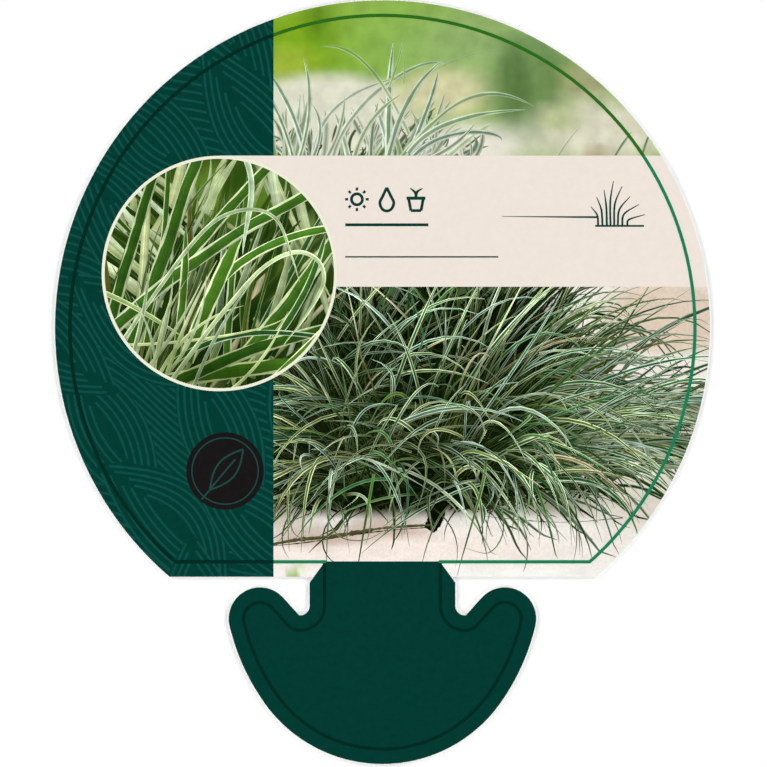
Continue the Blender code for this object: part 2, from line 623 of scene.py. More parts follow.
def smooth(points, at):
    """Points of a Catmull-Rom curve at places counted in control points."""
    k = np.minimum(at.astype(int), len(points) - 2)
    t = (at - k)[:, None]
    p1, p2 = points[k], points[k + 1]
    p0 = np.where((k > 0)[:, None], points[np.maximum(k - 1, 0)], 2 * p1 - p2)
    after = points[np.minimum(k + 2, len(points) - 1)]
    p3 = np.where((k < len(points) - 2)[:, None], after, 2 * p2 - p1)
    square = (2 * p0 - 5 * p1 + 4 * p2 - p3) * t**2
    cube = (3 * p1 - p0 - 3 * p2 + p3) * t**3
    return 0.5 * (2 * p1 + (p2 - p0) * t + square + cube)


def stroke(points, half, count=24):
    """The quads of a smooth stroke through a few points, with one half width or one at each point."""
    points = np.array(points, float)
    at = np.linspace(0, len(points) - 1, count)
    half = np.interp(at, range(len(points)), np.broadcast_to(half, len(points)))
    return ribbon(*smooth(points, at).T, half)


def softened(light):
    """The light along a blade, evened out three times between neighbouring points."""
    for _ in range(3):
        padded = np.pad(light, 1, mode="edge")
        light = 0.25 * padded[:-2] + 0.5 * padded[1:-1] + 0.25 * padded[2:]
    return light


TILT = math.radians(22)  # the picture looks down on the plant by this angle
LOOK = (math.cos(TILT), math.sin(TILT))
EYE = 260.0  # mm on the print from the picture's eye to the plant
THINNEST = 0.012  # mm, half the width that a blade's tip keeps


class Blades:
    """A pile of grass blades on the print: their lines, widths and what the picture's inks need."""

    def __init__(self, seed):
        self.random = np.random.default_rng(seed)
        self.items = []

    def add(self, x, y, near, half, light, hue, plain=0.0, blur=0.0):
        """Adds a blade along a line, with its nearness, half width and light at each point or all along."""
        along = np.concatenate(([0], np.cumsum(np.hypot(np.diff(x), np.diff(y)))))
        blade = {"x": x, "y": y, "near": near + 0 * x, "light": light + 0 * x, "along": along}
        blade["half"] = np.maximum(half + 0 * x, THINNEST)
        blade["tag"] = (hue, plain, blur)
        self.items.append(blade)

    def grow(self, origin, base, heading, lean, droop, length, half, power, swing, gain, hue, plain, floor):
        """Grows a blade from the ground, leaning and drooping, and projects it onto the print.

        base is x to the right and d towards the viewer, lean and droop are from upright, in mm and radians.
        """
        draw = self.random
        s = np.linspace(0, 1, 16)
        step = length / (len(s) - 1)
        tilt = lean + droop * s**power
        turn = heading + draw.normal(0, 0.15) * s + swing * draw.normal(0, 1) * s**2
        x, d, z = (
            np.concatenate(([0], np.cumsum(part[:-1]) * step))
            for part in (np.sin(tilt) * np.cos(turn), np.sin(tilt) * np.sin(turn), np.cos(tilt))
        )
        z = np.where(z < floor, floor + 0.12 * (z - floor), z)
        x, d = base[0] + x, base[1] + d
        near = d * LOOK[0] + z * LOOK[1]
        scale = 1 / (1 - near / EYE)
        # a blade seen from its side looks narrow; it tapers over its last third, and a little at its foot
        turned = 0.6 + 0.4 * abs(math.cos(draw.uniform(0, math.pi)))
        taper = np.minimum(1, (1.02 - s) * 3.2) ** 0.8 * np.minimum(1, 0.6 + s * 3)
        # where it lies level it catches the sky, and its lowest third stands in its neighbours' shade
        sky = 0.72 + 0.42 * np.sin(np.clip(tilt, 0, math.pi)) ** 2
        root = 0.3 + 0.7 * np.clip(s * 3.0, 0, 1)
        light = gain * sky * root * draw.uniform(0.82, 1.18)
        right, up = origin[0] + x * scale, origin[1] + (z * LOOK[0] - d * LOOK[1]) * scale
        self.add(right, up, near, half * turned * taper * scale, light, hue, plain)

    def lay(self, points, half, near, light, hue, plain=0.0, blur=0.0, tip=0.0):
        """Lays a blade flat on the print through points from foot to tip; tip is the share that tapers."""
        points, count = np.array(points, float), len(points)
        at = np.linspace(0, count - 1, 11 * count)
        if count < 5:
            x, y = (np.polyval(np.polyfit(range(count), c, count - 1), at) for c in points.T)
        else:
            x, y = smooth(points, at).T
        s = at / at[-1]
        width = half * (1 - 0.2 * s) * (np.clip((1.01 - s) / tip, 0, 1) ** 0.7 if tip else 1)
        self.add(x, y, near, width, light, hue, plain, blur)

    def shade(self, low, high, deep, power, thin=None, cell=0.5):
        """Darkens each blade by how deep it lies in the pile, less so where the pile thins out.

        low and high are the corners looked at. thin is the range across in which the pile ends, and the range
        downwards in which it does, all in mm.
        """
        nx, ny = (int(n) + 2 for n in (np.array(high) - low) / cell)
        front = np.full((ny, nx), -99.0)  # how near the nearest blade is in each cell
        for blade in self.items:
            for f in (0, 0.25, 0.5, 0.75):
                x, y, near = (blade[k][:-1] + f * np.diff(blade[k]) for k in ("x", "y", "near"))
                i, j = ((x - low[0]) / cell).astype(int), ((y - low[1]) / cell).astype(int)
                ok = (i >= 0) & (i < nx) & (j >= 0) & (j < ny)
                np.maximum.at(front, (j[ok], i[ok]), near[ok])
        full = (front > -90).astype(float)
        front = np.where(full > 0, front, 0.0)
        for _ in range(3):
            for axis in (0, 1):
                front = front + np.roll(front, 1, axis) + np.roll(front, -1, axis)
                full = full + np.roll(full, 1, axis) + np.roll(full, -1, axis)
        front = front / np.maximum(full, 1e-6)
        for blade in self.items:
            i = np.clip(((blade["x"] - low[0]) / cell).astype(int), 0, nx - 1)
            j = np.clip(((blade["y"] - low[1]) / cell).astype(int), 0, ny - 1)
            light = softened(np.exp(-np.maximum(front[j, i] - blade["near"], -2) / deep))
            if thin:
                right, down = ((blade[k] - start) / (end - start) for k, (start, end) in zip("xy", thin))
                light += (1 - light) * 0.75 * np.clip(np.maximum(right, down), 0, 1)
            blade["light"] = np.clip(light * blade["light"], 0, 1.3) ** power

    def dapple(self, pools):
        """Lightens or darkens the blades in soft oval pools: middle, half width, half height, and gain."""
        for blade in self.items:
            for x, y, rx, ry, gain in pools:
                reach = ((blade["x"] - x) / rx) ** 2 + ((blade["y"] - y) / ry) ** 2
                blade["light"] = blade["light"] * (1 + (gain - 1) * np.exp(-reach))

    def arrays(self):
        """All quads from the farthest to the nearest, with the two ends of each and their inks."""
        rows = {k: [] for k in ("quad", "near", "mid", "arm", "light", "along", "tag")}
        for blade in self.items:
            quad = ribbon(blade["x"], blade["y"], blade["half"])
            left, right = quad[:, (1, 2)], quad[:, (0, 3)]
            rows["quad"].append(quad)
            rows["near"].append((blade["near"][1:] + blade["near"][:-1]) / 2)
            rows["mid"].append((right + left) / 2)
            rows["arm"].append((right - left) / 2)
            for k in ("light", "along"):
                rows[k].append(np.stack((blade[k][:-1], blade[k][1:]), 1))
            rows["tag"].append(np.tile(blade["tag"], (len(quad), 1)))
        rows = {k: np.concatenate(v) for k, v in rows.items()}
        order = np.argsort(rows["near"], kind="stable")
        return {k: v[order] for k, v in rows.items()}


def place_on_blades(points, mid, arm):
    """Where points lie across their blades' quads, from -1 to 1, and along them, from 0 to 1."""
    t = np.full(len(points), 0.5)
    for _ in range(4):
        m = mid[:, 0] * (1 - t)[:, None] + mid[:, 1] * t[:, None]
        a = arm[:, 0] * (1 - t)[:, None] + arm[:, 1] * t[:, None]
        u = ((points - m) * a).sum(1) / np.maximum((a * a).sum(1), 1e-9)
        run = mid[:, 1] - mid[:, 0] + (arm[:, 1] - arm[:, 0]) * u[:, None]
        miss = ((points - m - a * u[:, None]) * run).sum(1)
        t = np.clip(t + miss / np.maximum((run * run).sum(1), 1e-9), 0, 1)
    return np.clip(u, -1, 1), t


def soft_tones(points, base, spots):
    """Out-of-focus colour and stoniness at points in mm: soft-edged oval spots laid over a base in order."""
    colour = np.tile((*linear(base[0])[:3], base[1]), (len(points), 1))
    for code, x, y, rx, ry, soft, stone in spots:
        reach = np.hypot((points[:, 0] - x) / rx, (points[:, 1] - y) / ry)
        t = np.clip((1 + soft - reach) / (2 * soft), 0, 1)
        t = (t * t * (3 - 2 * t))[:, None]
        colour = colour * (1 - t) + np.array((*linear(code)[:3], stone)) * t
    return colour


def print_picture(piece, blades, base, spots, layer, cell=1.6):
    """Turns a cut region into a picture: ground in square cells, and over it each blade part that shows."""
    region = outline_of(piece)
    low, high = region.min(0), region.max(0)
    rows = blades.arrays()
    rows["quad"] = anticlockwise(rows["quad"])
    keep = showing(rows["quad"], low, high)
    rows = {k: v[keep] for k, v in rows.items()}
    gx, gy = np.meshgrid(*(np.arange(low[k] - 0.1, high[k], cell) for k in (0, 1)))
    corner = np.stack((gx.ravel(), gy.ravel()), 1)
    grid = corner[:, None] + np.array(((0, 0), (1, 0), (1, 1), (0, 1))) * cell
    points, triangles, owner = cut_apart(np.concatenate((grid, rows["quad"])), region)
    mesh = fill_mesh(piece, points, triangles, layer)

    spot = points[triangles.ravel()]
    own = np.repeat(owner, 3) - len(grid)
    on = own >= 0
    number = own[on]
    across, t = place_on_blades(spot[on], rows["mid"][number], rows["arm"][number])
    ends = np.stack((1 - t, t), 1)
    leaf = np.zeros((len(spot), 2))
    leaf[on, 0] = across
    leaf[on, 1] = (rows["along"][number] * ends).sum(1)
    ink = np.zeros((len(spot), 4))
    ink[:, 3] = 1.0
    ink[on, 0] = (rows["light"][number] * ends).sum(1)
    ink[on, 1:] = rows["tag"][number]
    mesh.uv_layers.new(name="leaf").data.foreach_set("uv", leaf.ravel())
    for name, values in (("ink", ink), ("back", soft_tones(spot, base, spots))):
        mesh.attributes.new(name, "FLOAT_COLOR", "CORNER").data.foreach_set("color", values.ravel())


# Settings


def size(name, default, description):
    """A length that a user can change, with its default in mm."""
    return bpy.props.FloatProperty(
        name=name, description=description, default=default * MM, unit="LENGTH", precision=5
    )


def tone(name, code, description):
    """A colour that a user can change."""
    return bpy.props.FloatVectorProperty(
        name=name, description=description, default=linear(code), size=4, subtype="COLOR", min=0, max=1
    )


class PrintSizes(bpy.types.PropertyGroup):
    """Places and sizes of the prints"""

    line_inset: size("Line inset", 2.1, "From the cut edge to the middle of the line that follows it")
    line_width: size("Line width", 0.44, "Width of the line that follows the cut edge")
    panel_edge: size(
        "Panel edge", -14.95, "Where the green panel ends and the picture begins, from the middle"
    )
    band_top: size("Band top", 31.1, "Upper edge of the cream band, above the origin")
    band_bottom: size("Band bottom", 13.1, "Lower edge of the cream band, above the origin")
    inset_x: size("Close-up across", -22.38, "Middle of the round close-up, to the right of the origin")
    inset_y: size("Close-up up", 14.92, "Middle of the round close-up, above the origin")
    inset_radius: size("Close-up radius", 15.74, "Radius of the round close-up inside its ring")
    ring_width: size("Ring width", 0.42, "Width of the pale ring round the close-up")
    disc_radius: size("Disc radius", 5.31, "Radius of the dark disc")
    tongue_top: size("Tongue top", -24.6, "Upper edge of the tongue's green, above the origin")


class PrintColours(bpy.types.PropertyGroup):
    """Colours of the flat inks"""

    panel: tone("Panel green", "#003A31", "Ground of the panel")
    pattern: tone("Pattern green", "#0B4C43", "Lines of the panel's pattern")
    tongue: tone("Tongue green", "#003930", "Ground of the tongue")
    band: tone("Band cream", "#EBE1D7", "The band across the picture")
    ring: tone("Ring cream", "#ECECD7", "The ring round the close-up")
    disc: tone("Disc black", "#171516", "The round dark sign")
    leaf: tone("Disc line green", "#1E4640", "Lines on the round dark sign")
    sign: tone("Sign green", "#0C3C32", "Signs and rules on the band")
    line_light: tone("Line on pale", "#188056", "The edge line where it crosses stone and band")
    line_foliage: tone("Line on foliage", "#2A6A1C", "The edge line where it crosses the foliage")
    line_dark: tone("Line on green", "#002A21", "The edge line where it crosses green")


class TuftSettings(bpy.types.PropertyGroup):
    """How the grass is drawn"""

    seed: bpy.props.IntProperty(
        name="Seed", description="Start of the tuft's random draws", default=7, min=0
    )
    deep: size("Shade depth", 4.4, "How deep behind the front blades the light sinks to a third")
    contrast: bpy.props.FloatProperty(
        name="Contrast", description="How fast a shaded blade darkens", default=2.0, min=0.5, max=4
    )


# Operators for the sheet, the prints and the stage


class LABEL_OT_sheet(bpy.types.Operator):
    """Gives the plastic sheet its material"""

    bl_idname = "label.sheet"
    bl_label = "Plastic Sheet"

    def execute(self, context):
        SHEET.data.materials.clear()
        SHEET.data.materials.append(white_polypropylene())
        return {"FINISHED"}


class LABEL_OT_panel(bpy.types.Operator):
    """Prints the green panel with its pattern of nested leaf lines"""

    bl_idname = "label.panel"
    bl_label = "Green Panel"

    def execute(self, context):
        sizes, colours = context.scene.label_sizes, context.scene.label_colours
        piece = printed_face("panel_print", PANEL_LAYER)
        trim(0, sizes.panel_edge / MM, 1)
        trim(1, HEAD_CUT_Y, -1)
        quads, lines = leaf_pattern(outline_of(piece), PATTERN_SEED)
        print_lines(piece, quads, lines, PANEL_LAYER, tile=4.0)
        finish_piece(
            piece,
            "deep_green_ink",
            flat_ink("offset_deep_green_ink", colours.panel, 0.09),
            flat_ink("offset_mid_green_line_ink", colours.pattern, 0.09),
        )
        return {"FINISHED"}


PATTERN_SEED = 3
LINE_PITCH = 0.98  # mm from line to line of the panel's pattern
LINE_HALF = 0.165  # mm, half a line's width
WAVE_PITCH = 1.15 * LINE_PITCH
LEAF_ROWS = (14.0, 15.0, 7.5)  # mm from row to row and leaf to leaf, and what every second row is shifted by


def leaf_pattern(region, seed):
    """Slanting waves, and leaves laid on them like shingles, each a stack of nested curves on its own ground.

    Returns their quads from the lowest to the topmost, and 1 for each that is a line.
    """
    draw = np.random.default_rng(seed)
    low, high = region.min(0), region.max(0)
    quads, lines = [], []

    def lay(x, y, width, is_line):
        """Lays one strip over the others, as a line or as a leaf's ground."""
        strip = ribbon(x, y, width)
        quads.append(strip)
        lines.append(np.full(len(strip), is_line))

    across = np.linspace(low[0] - 1, high[0] + 1, 50)
    for y in np.arange(low[1] - 25, high[1] + 25, WAVE_PITCH):
        lay(across, y - 0.55 * across + 1.5 * np.sin(across / 3.7 + 0.045 * y), 0 * across + LINE_HALF, 1)
    row_pitch, leaf_pitch, shift = LEAF_ROWS
    spots = [
        (x + draw.normal(0, 0.7), y + draw.normal(0, 0.7), row)
        for row, y in enumerate(np.arange(low[1] - 8, high[1] + 8, row_pitch))
        for x in np.arange(low[0] - 8 + shift * (row % 2), high[0] + 8, leaf_pitch)
    ]
    t = np.linspace(0.0, 1.0, 25)
    belly = np.sin(math.pi * t)
    for k in draw.permutation(len(spots)):
        x, y, row = spots[k]
        angle = math.radians((-42 if row % 2 else 118) + draw.normal(0, 7))
        length, width, bend = draw.uniform(24, 29), draw.uniform(4.8, 6.0), draw.uniform(-3.0, 3.0)
        along = np.array((math.cos(angle), math.sin(angle)))
        side = np.array((-along[1], along[0]))

        def beside(offset):
            """The leaf's middle line, moved sideways."""
            where = (x, y) + (t - 0.5)[:, None] * length * along + (offset + bend * belly)[:, None] * side
            return where.T

        lay(*beside(0 * t), np.maximum(width * belly + 0.3, 0.02), 0)
        for j in range(int(width / LINE_PITCH) + 1):
            offset = width * belly - j * LINE_PITCH
            show = offset > 0.22
            if show.sum() > 3:
                for sign in (1, -1):
                    lay(*beside(sign * offset)[:, show], np.full(show.sum(), LINE_HALF), 1)
    return np.concatenate(quads), np.concatenate(lines)


class LABEL_OT_tongue(bpy.types.Operator):
    """Prints the tongue's plain green"""

    bl_idname = "label.tongue"
    bl_label = "Green Tongue"

    def execute(self, context):
        sizes, colours = context.scene.label_sizes, context.scene.label_colours
        piece = printed_face("tongue_print", TONGUE_LAYER)
        trim(1, sizes.tongue_top / MM, 1)
        bpy.ops.mesh.select_all(action="SELECT")
        bpy.ops.mesh.bisect(plane_co=(0, HEAD_CUT_Y * MM, 0), plane_no=(0, 1, 0))
        for sign in (-1, 1):  # its upper corners carry on the slope of the neck's short flare
            pick(lambda face: face.calc_center_median().y > HEAD_CUT_Y * MM)
            bpy.ops.mesh.bisect(
                plane_co=(sign * FLARE[0] * MM, FLARE[1] * MM, 0),
                plane_no=(sign * FLARE_NORMAL[0], FLARE_NORMAL[1], 0),
                clear_outer=True,
            )
        finish_piece(piece, "deep_green_ink", flat_ink("offset_tongue_green_ink", colours.tongue, 0.07))
        return {"FINISHED"}


FOOT_Y = -16.4  # mm, how high on the print the tuft's depth of 0 lies
CROSSING = 0.2  # share of the blades that lean across the others
WITHERED = 0.02  # share of the tuft's blades that are withered
SOME, MOST = (0.25, 0.9), (0.8, 0.8)  # share of plain blades in a group, and how plain they are

# Groups of blades in the tuft: number, middle and half width, depths, heading, lean, droop, length, half
# width of a blade, power of the droop, swing, gain, plainness, lowest level, and the share that heads right
MEADOW = (
    # crowns beside and behind each other
    (440, (3.0, 9.0), (-5, 3), (-0.1, 0.9), (0.0, 0.75), (0.1, 2.6), (18, 45), (0.12, 0.26), (1.0, 2.6), 0.6,
     1.15, SOME, -0.3, 0.54),
    (220, (-12.0, 8.0), (-11, -1), (-0.2, 0.8), (0.0, 0.6), (0.6, 2.6), (18, 42), (0.12, 0.26), (1.2, 2.6),
     0.6, 1.15, SOME, -0.3, 0.54),
    (150, (17.0, 8.0), (-11, -2), (-0.1, 0.7), (0.0, 0.7), (0.8, 2.6), (18, 40), (0.12, 0.26), (1.2, 2.6),
     0.6, 1.15, SOME, -0.3, 0.54),
    (330, (2.0, 19.0), (-21, -11), (-0.2, 0.9), (0.0, 0.6), (0.6, 2.7), (20, 44), (0.12, 0.27), (1.2, 2.6),
     0.7, 1.3, SOME, -0.3, 0.54),
    (130, (4.0, 13.0), (-22, -12), (-0.3, 1.2), (0.0, 0.35), (0.3, 1.5), (24, 38), (0.12, 0.27), (1.4, 2.6),
     0.6, 1.35, SOME, -0.3, 0.54),
    # blades that arch over early and hang down the front and both sides
    (170, (4.0, 13.0), (-10, 2), (0.35, 0.6), (0.15, 0.7), (1.5, 2.5), (26, 48), (0.14, 0.29), (0.7, 1.3),
     0.7, 1.2, SOME, -0.3, 0.6),
    (120, (14.0, 8.0), (-12, 0), (0.3, 0.45), (0.4, 0.9), (1.1, 2.0), (28, 46), (0.15, 0.3), (0.7, 1.3), 0.5,
     1.2, SOME, -0.3, 0.8),
    # low blades that lie out over the ground, and some that fall over the edge of the stones
    (190, (4.0, 14.0), (-9, 4), (0.3, 0.45), (0.5, 1.2), (0.4, 1.3), (16, 40), (0.13, 0.27), (0.9, 1.8),
     0.45, 1.15, SOME, -0.3, 0.54),
    (64, (4.0, 18.0), (-1, 3), (0.4, 0.6), (0.5, 1.1), (1.0, 2.2), (10, 21), (0.07, 0.15), (0.8, 1.5), 1.1,
     1.15, SOME, -5.0, 0.54),
    # a fan that reaches to the right edge, its blades well apart
    (62, (22.0, 8.0), (-17, -1), (0.25, 0.55), (0.4, 1.1), (0.7, 1.9), (18, 38), (0.13, 0.28), (0.9, 1.8),
     0.4, 1.0, (0.5, 0.75), -0.3, 0.8),
    # long loose blades over the rest, and short dark ones deep inside, which close the gaps
    (50, (4.0, 16.0), (-6, 3), (0.0, 0.9), (0.1, 0.8), (1.2, 2.6), (28, 46), (0.14, 0.27), (0.9, 1.8), 1.0,
     1.25, SOME, -0.3, 0.54),
    (70, (4.0, 15.0), (-12, 2), (0.2, 1.3), (0.1, 1.1), (0.2, 1.3), (26, 44), (0.09, 0.17), (0.8, 1.6), 0.5,
     1.3, SOME, -0.3, 0.54),
    (18, (4.0, 17.0), (0, 5), (0.35, 0.4), (0.3, 0.9), (2.6, 3.8), (14, 26), (0.08, 0.13), (0.9, 1.4), 0.9,
     1.2, SOME, -7.0, 0.54),
    (360, (0.0, 20.0), (-22, -8), (0.0, 1.2), (0.0, 0.3), (0.2, 1.2), (12, 26), (0.16, 0.3), (1.4, 1.6), 0.3,
     0.5, MOST, -0.3, 0.54),
)

# Soft pools of light and shade in the tuft: middle, half width, half height in mm, and gain
MEADOW_POOLS = (
    (8.0, 12.5, 18.0, 6.0, 1.9),
    (5.5, -11.5, 4.5, 5.0, 0.4),
    (15.5, 4.5, 5.0, 3.4, 0.7),
    (-8.0, -5.0, 3.6, 4.4, 0.55),
    (-1.0, -2.0, 3.2, 3.0, 0.8),
    (24.0, -11.0, 5.0, 6.0, 1.35),
    (6.8, -17.0, 2.6, 2.6, 0.4),
)

MEADOW_FIELD = ((-17, -28), (47, 54))  # mm, the corners of the part that is shaded
MEADOW_ENDS = ((19.0, 34.0), (-16.0, -20.0))  # mm, where the tuft thins out to the right, and downwards

# Thin blades that loop over the edge of the stones: points, half width, light, hue
LOOPS = (
    (((4.0, -9.6), (0.4, -8.6), (-3.6, -9.8), (-6.8, -14.0), (-7.6, -18.2), (-5.8, -21.2), (-2.2, -21.6),
     (1.4, -19.6)), 0.12, 0.8, 0.3),
    (((8.6, -11.6), (11.4, -11.0), (14.4, -13.0), (16.2, -16.8), (16.5, -20.8), (14.6, -23.4),
     (11.4, -22.8)), 0.11, 0.75, 0.45),
    (((-2.0, -10.4), (-6.6, -9.6), (-10.4, -12.6), (-12.6, -17.0), (-12.2, -20.6), (-9.8, -22.0)), 0.11,
     0.75, 0.35),
    (((17.0, -9.4), (21.6, -9.6), (25.6, -12.8), (28.4, -17.2), (30.2, -22.0)), 0.15, 0.85, 0.4),
    (((9.4, -8.0), (14.6, -9.4), (19.0, -13.4), (22.0, -18.0), (25.4, -21.8)), 0.14, 0.8, 0.6),
)

# Joints between the stones: points, half widths, light
JOINTS = (
    (((-15.4, -22.3), (-11.5, -21.6), (-8.0, -21.3), (-4.0, -20.7), (-0.5, -20.1), (3.0, -19.8),
     (6.6, -19.6)), (0.12, 0.3, 0.18, 0.32, 0.15, 0.2, 0.12), 0.5),
    (((-15.4, -22.5), (-10.5, -22.0), (-6.0, -21.3), (-1.5, -20.6), (2.5, -20.2), (6.8, -19.9)), (0.03, 0.09,
     0.04, 0.1, 0.04, 0.08), 0.12),
    (((6.6, -15.6), (7.3, -17.4), (7.2, -18.9), (6.4, -20.3)), (1.3, 1.3, 1.1, 0.75), 0.0),
    (((33.0, -7.6), (36.5, -7.3), (39.5, -7.7)), (0.1, 0.32, 0.12), 0.05),
    (((14.0, -18.4), (20.0, -19.0), (26.0, -19.2), (33.0, -18.6)), (0.03, 0.06, 0.03, 0.08), 0.4),
)


def meadow_tuft(seed, deep, contrast):
    """The sedge on its stones in the lower part of the picture, each blade drawn from its group's ranges."""
    blades = Blades(seed)
    draw = blades.random
    for number, x, d, heading, lean, droop, length, half, power, swing, gain, plain, floor, right in MEADOW:
        for _ in range(number):
            side = 1 if draw.uniform() < right else -1
            way = (0 if side > 0 else math.pi) + side * draw.normal(*heading)
            if draw.uniform() < CROSSING:
                way = math.pi - way
            reach = draw.uniform(*length) * (0.8 if math.sin(way) > 0.55 else 1.0)
            base = (x[0] + side * x[1] * draw.uniform() ** 0.7, draw.uniform(*d))
            leaning, drooping, thick, curve = (draw.uniform(*span) for span in (lean, droop, half, power))
            light = gain * draw.uniform(0.6, 0.88)
            hue = 0.0 if draw.uniform() < WITHERED else float(np.clip(0.52 + 0.24 * draw.normal(), 0.12, 1))
            if draw.uniform() < plain[0]:
                plainness = plain[1] * draw.uniform(0.6, 1.0)
            else:
                plainness = -0.5 * max(0.0, draw.uniform(-2, 1))
            form = (way, leaning, drooping, reach, thick, curve, swing)
            blades.grow((0.0, FOOT_Y), base, *form, light, hue, plainness, floor)
    blades.shade(*MEADOW_FIELD, deep, contrast, MEADOW_ENDS)
    blades.dapple(MEADOW_POOLS)
    for points, half, light, hue in LOOPS:
        blades.lay(points, half, 24.0, light, hue, tip=0.3)
    for points, half, light in JOINTS:
        points = np.array(points)
        at = np.linspace(0, len(points) - 1, 8 * len(points))
        fine = max(half) < 0.4  # a fine joint is more ragged than a wide crack
        ragged = np.clip(1 + (0.25 if fine else 0.05) * draw.normal(0, 1, len(at)), 0.4, 1.7)
        width = np.interp(at, range(len(points)), half) * ragged
        hue = 0.0 if light > 0.2 else 0.3  # earth in a joint, or the dark of a crack
        blades.add(*smooth(points, at).T, light - 60.0, width, light, hue, 1.0)
    return blades


# Short blades that crowd the foot of each clump above the band: number, middle, spread, lengths, lean, light
CROWDS = (
    (22, -13.0, 2.2, (5, 11), -0.1, (0.35, 1.05)),
    (44, 0.5, 3.6, (4, 10), 0.2, (0.25, 1.05)),
    (9, 7.0, 2.0, (4, 8), 0.8, (0.5, 1.0)),
    (34, -13.0, 2.6, (2, 6), -0.1, (0.05, 0.35)),
    (60, 0.5, 4.0, (2, 7), 0.4, (0.05, 0.35)),
)

# The tallest blades above the band: points from foot to tip, half width, light, hue, blur
TALL = (
    (((0.9, 29.5), (0.9, 38.5), (1.5, 46.6)), 0.46, 1.05, 0.6, 0.03),
    (((-11.9, 29.5), (-10.0, 37.6), (-10.9, 44.6)), 0.34, 0.95, 0.55, 0.1),
    (((3.6, 34.0), (-0.4, 41.4), (-4.4, 45.3), (-8.6, 46.0)), 0.3, 1.0, 0.4, 0.3),
    (((0.4, 29.5), (3.4, 38.2), (8.2, 44.2)), 0.42, 0.9, 0.65, 0.08),
    (((3.6, 31.0), (6.3, 37.9), (7.6, 42.6)), 0.38, 1.05, 0.75, 0.05),
    (((1.6, 29.5), (8.8, 37.2), (14.9, 39.6), (20.9, 37.8)), 0.36, 0.95, 0.45, 0.2),
    (((3.6, 31.4), (9.3, 35.6), (19.6, 37.4)), 0.4, 1.05, 0.6, 0.12),
    (((3.0, 29.5), (8.4, 33.6), (13.9, 34.3), (16.4, 33.2)), 0.36, 0.85, 0.75, 0.05),
    (((7.2, 42.9), (12.6, 45.0), (17.6, 45.5)), 0.16, 0.9, 0.4, 0.65),
    (((0.9, 40.5), (2.3, 44.6), (2.8, 47.4)), 0.17, 1.0, 0.4, 0.35),
    (((2.9, 41.0), (3.0, 43.6), (2.7, 45.6)), 0.13, 1.0, 0.3, 0.4),
    (((-6.9, 29.5), (-3.6, 37.0), (3.2, 42.6), (9.0, 43.4)), 0.36, 1.0, 0.7, 0.25),
    (((-9.6, 29.5), (-7.8, 36.0), (-3.4, 39.8), (2.6, 42.0)), 0.34, 1.0, 0.85, 0.3),
    (((-4.2, 29.5), (-1.8, 35.4), (2.4, 39.4)), 0.36, 0.9, 0.4, 0.15),
    (((-10.4, 29.5), (-12.4, 36.8), (-15.8, 42.8)), 0.38, 1.0, 0.7, 0.08),
    (((-12.0, 29.5), (-13.8, 35.6), (-16.2, 40.2)), 0.36, 0.95, 0.55, 0.06),
    (((-10.2, 29.5), (-8.6, 34.4), (-9.7, 38.2)), 0.3, 0.95, 0.7, 0.1),
    (((-8.4, 29.5), (-6.0, 34.5), (-5.2, 39.2)), 0.3, 0.8, 0.5, 0.2),
    (((-1.6, 29.5), (-1.4, 34.2), (-0.6, 38.4)), 0.32, 0.7, 0.6, 0.05),
    (((4.6, 30.0), (9.2, 32.2), (12.6, 35.4)), 0.3, 0.8, 0.6, 0.1),
    (((11.6, 29.8), (12.2, 31.6), (11.9, 33.4)), 0.16, 0.7, 0.5, 0.1),
    (((23.4, 29.8), (25.0, 32.4), (27.2, 35.2)), 0.22, 1.0, 0.4, 0.45),
    (((31.2, 29.8), (32.6, 32.2), (34.2, 34.4)), 0.22, 0.6, 0.6, 0.05),
    (((35.2, 29.8), (36.0, 32.4), (36.8, 34.4)), 0.2, 0.5, 0.6, 0.05),
)


def far_tuft(seed):
    """The pale tops of the plant above the band, large and a little out of focus."""
    blades = Blades(seed)
    draw = blades.random
    for number, x, spread, reaches, lean, light in CROWDS:
        if light[1] < 0.5:  # dark ones are thin and lie behind: half width, near, light, blur
            spans = ((0.14, 0.26), (-9, -1), light, (0.0, 0.1))
        else:
            spans = ((0.26, 0.46), (0, 30), light, (0.05, 0.35))
        for _ in range(number):
            foot = (x + draw.normal(0, spread), 30.2 + draw.normal(0, 0.5))
            way, reach, bow = lean + draw.normal(0, 0.4), draw.uniform(*reaches), draw.normal(0, 0.7)
            tip = (foot[0] + reach * math.sin(way), foot[1] + reach * math.cos(way))
            mid = ((foot[0] + tip[0]) / 2 + bow, (foot[1] + tip[1]) / 2 + 0.3)
            hue = float(np.clip(0.6 + 0.25 * draw.normal(), 0.12, 1))
            plain = 0.9 if draw.uniform() < 0.2 else draw.uniform(-0.6, 0.1)
            width, near, shine, blur = (draw.uniform(*span) for span in spans)
            blades.lay((foot, mid, tip), width, near, shine, hue, plain, blur, 0.3)
    for k, (points, half, light, hue, blur) in enumerate(TALL):
        blades.lay(points, 1.12 * half, 31.0 + (k * 7) % 24, light, hue, -0.15, blur + 0.04, 0.32)
    return blades


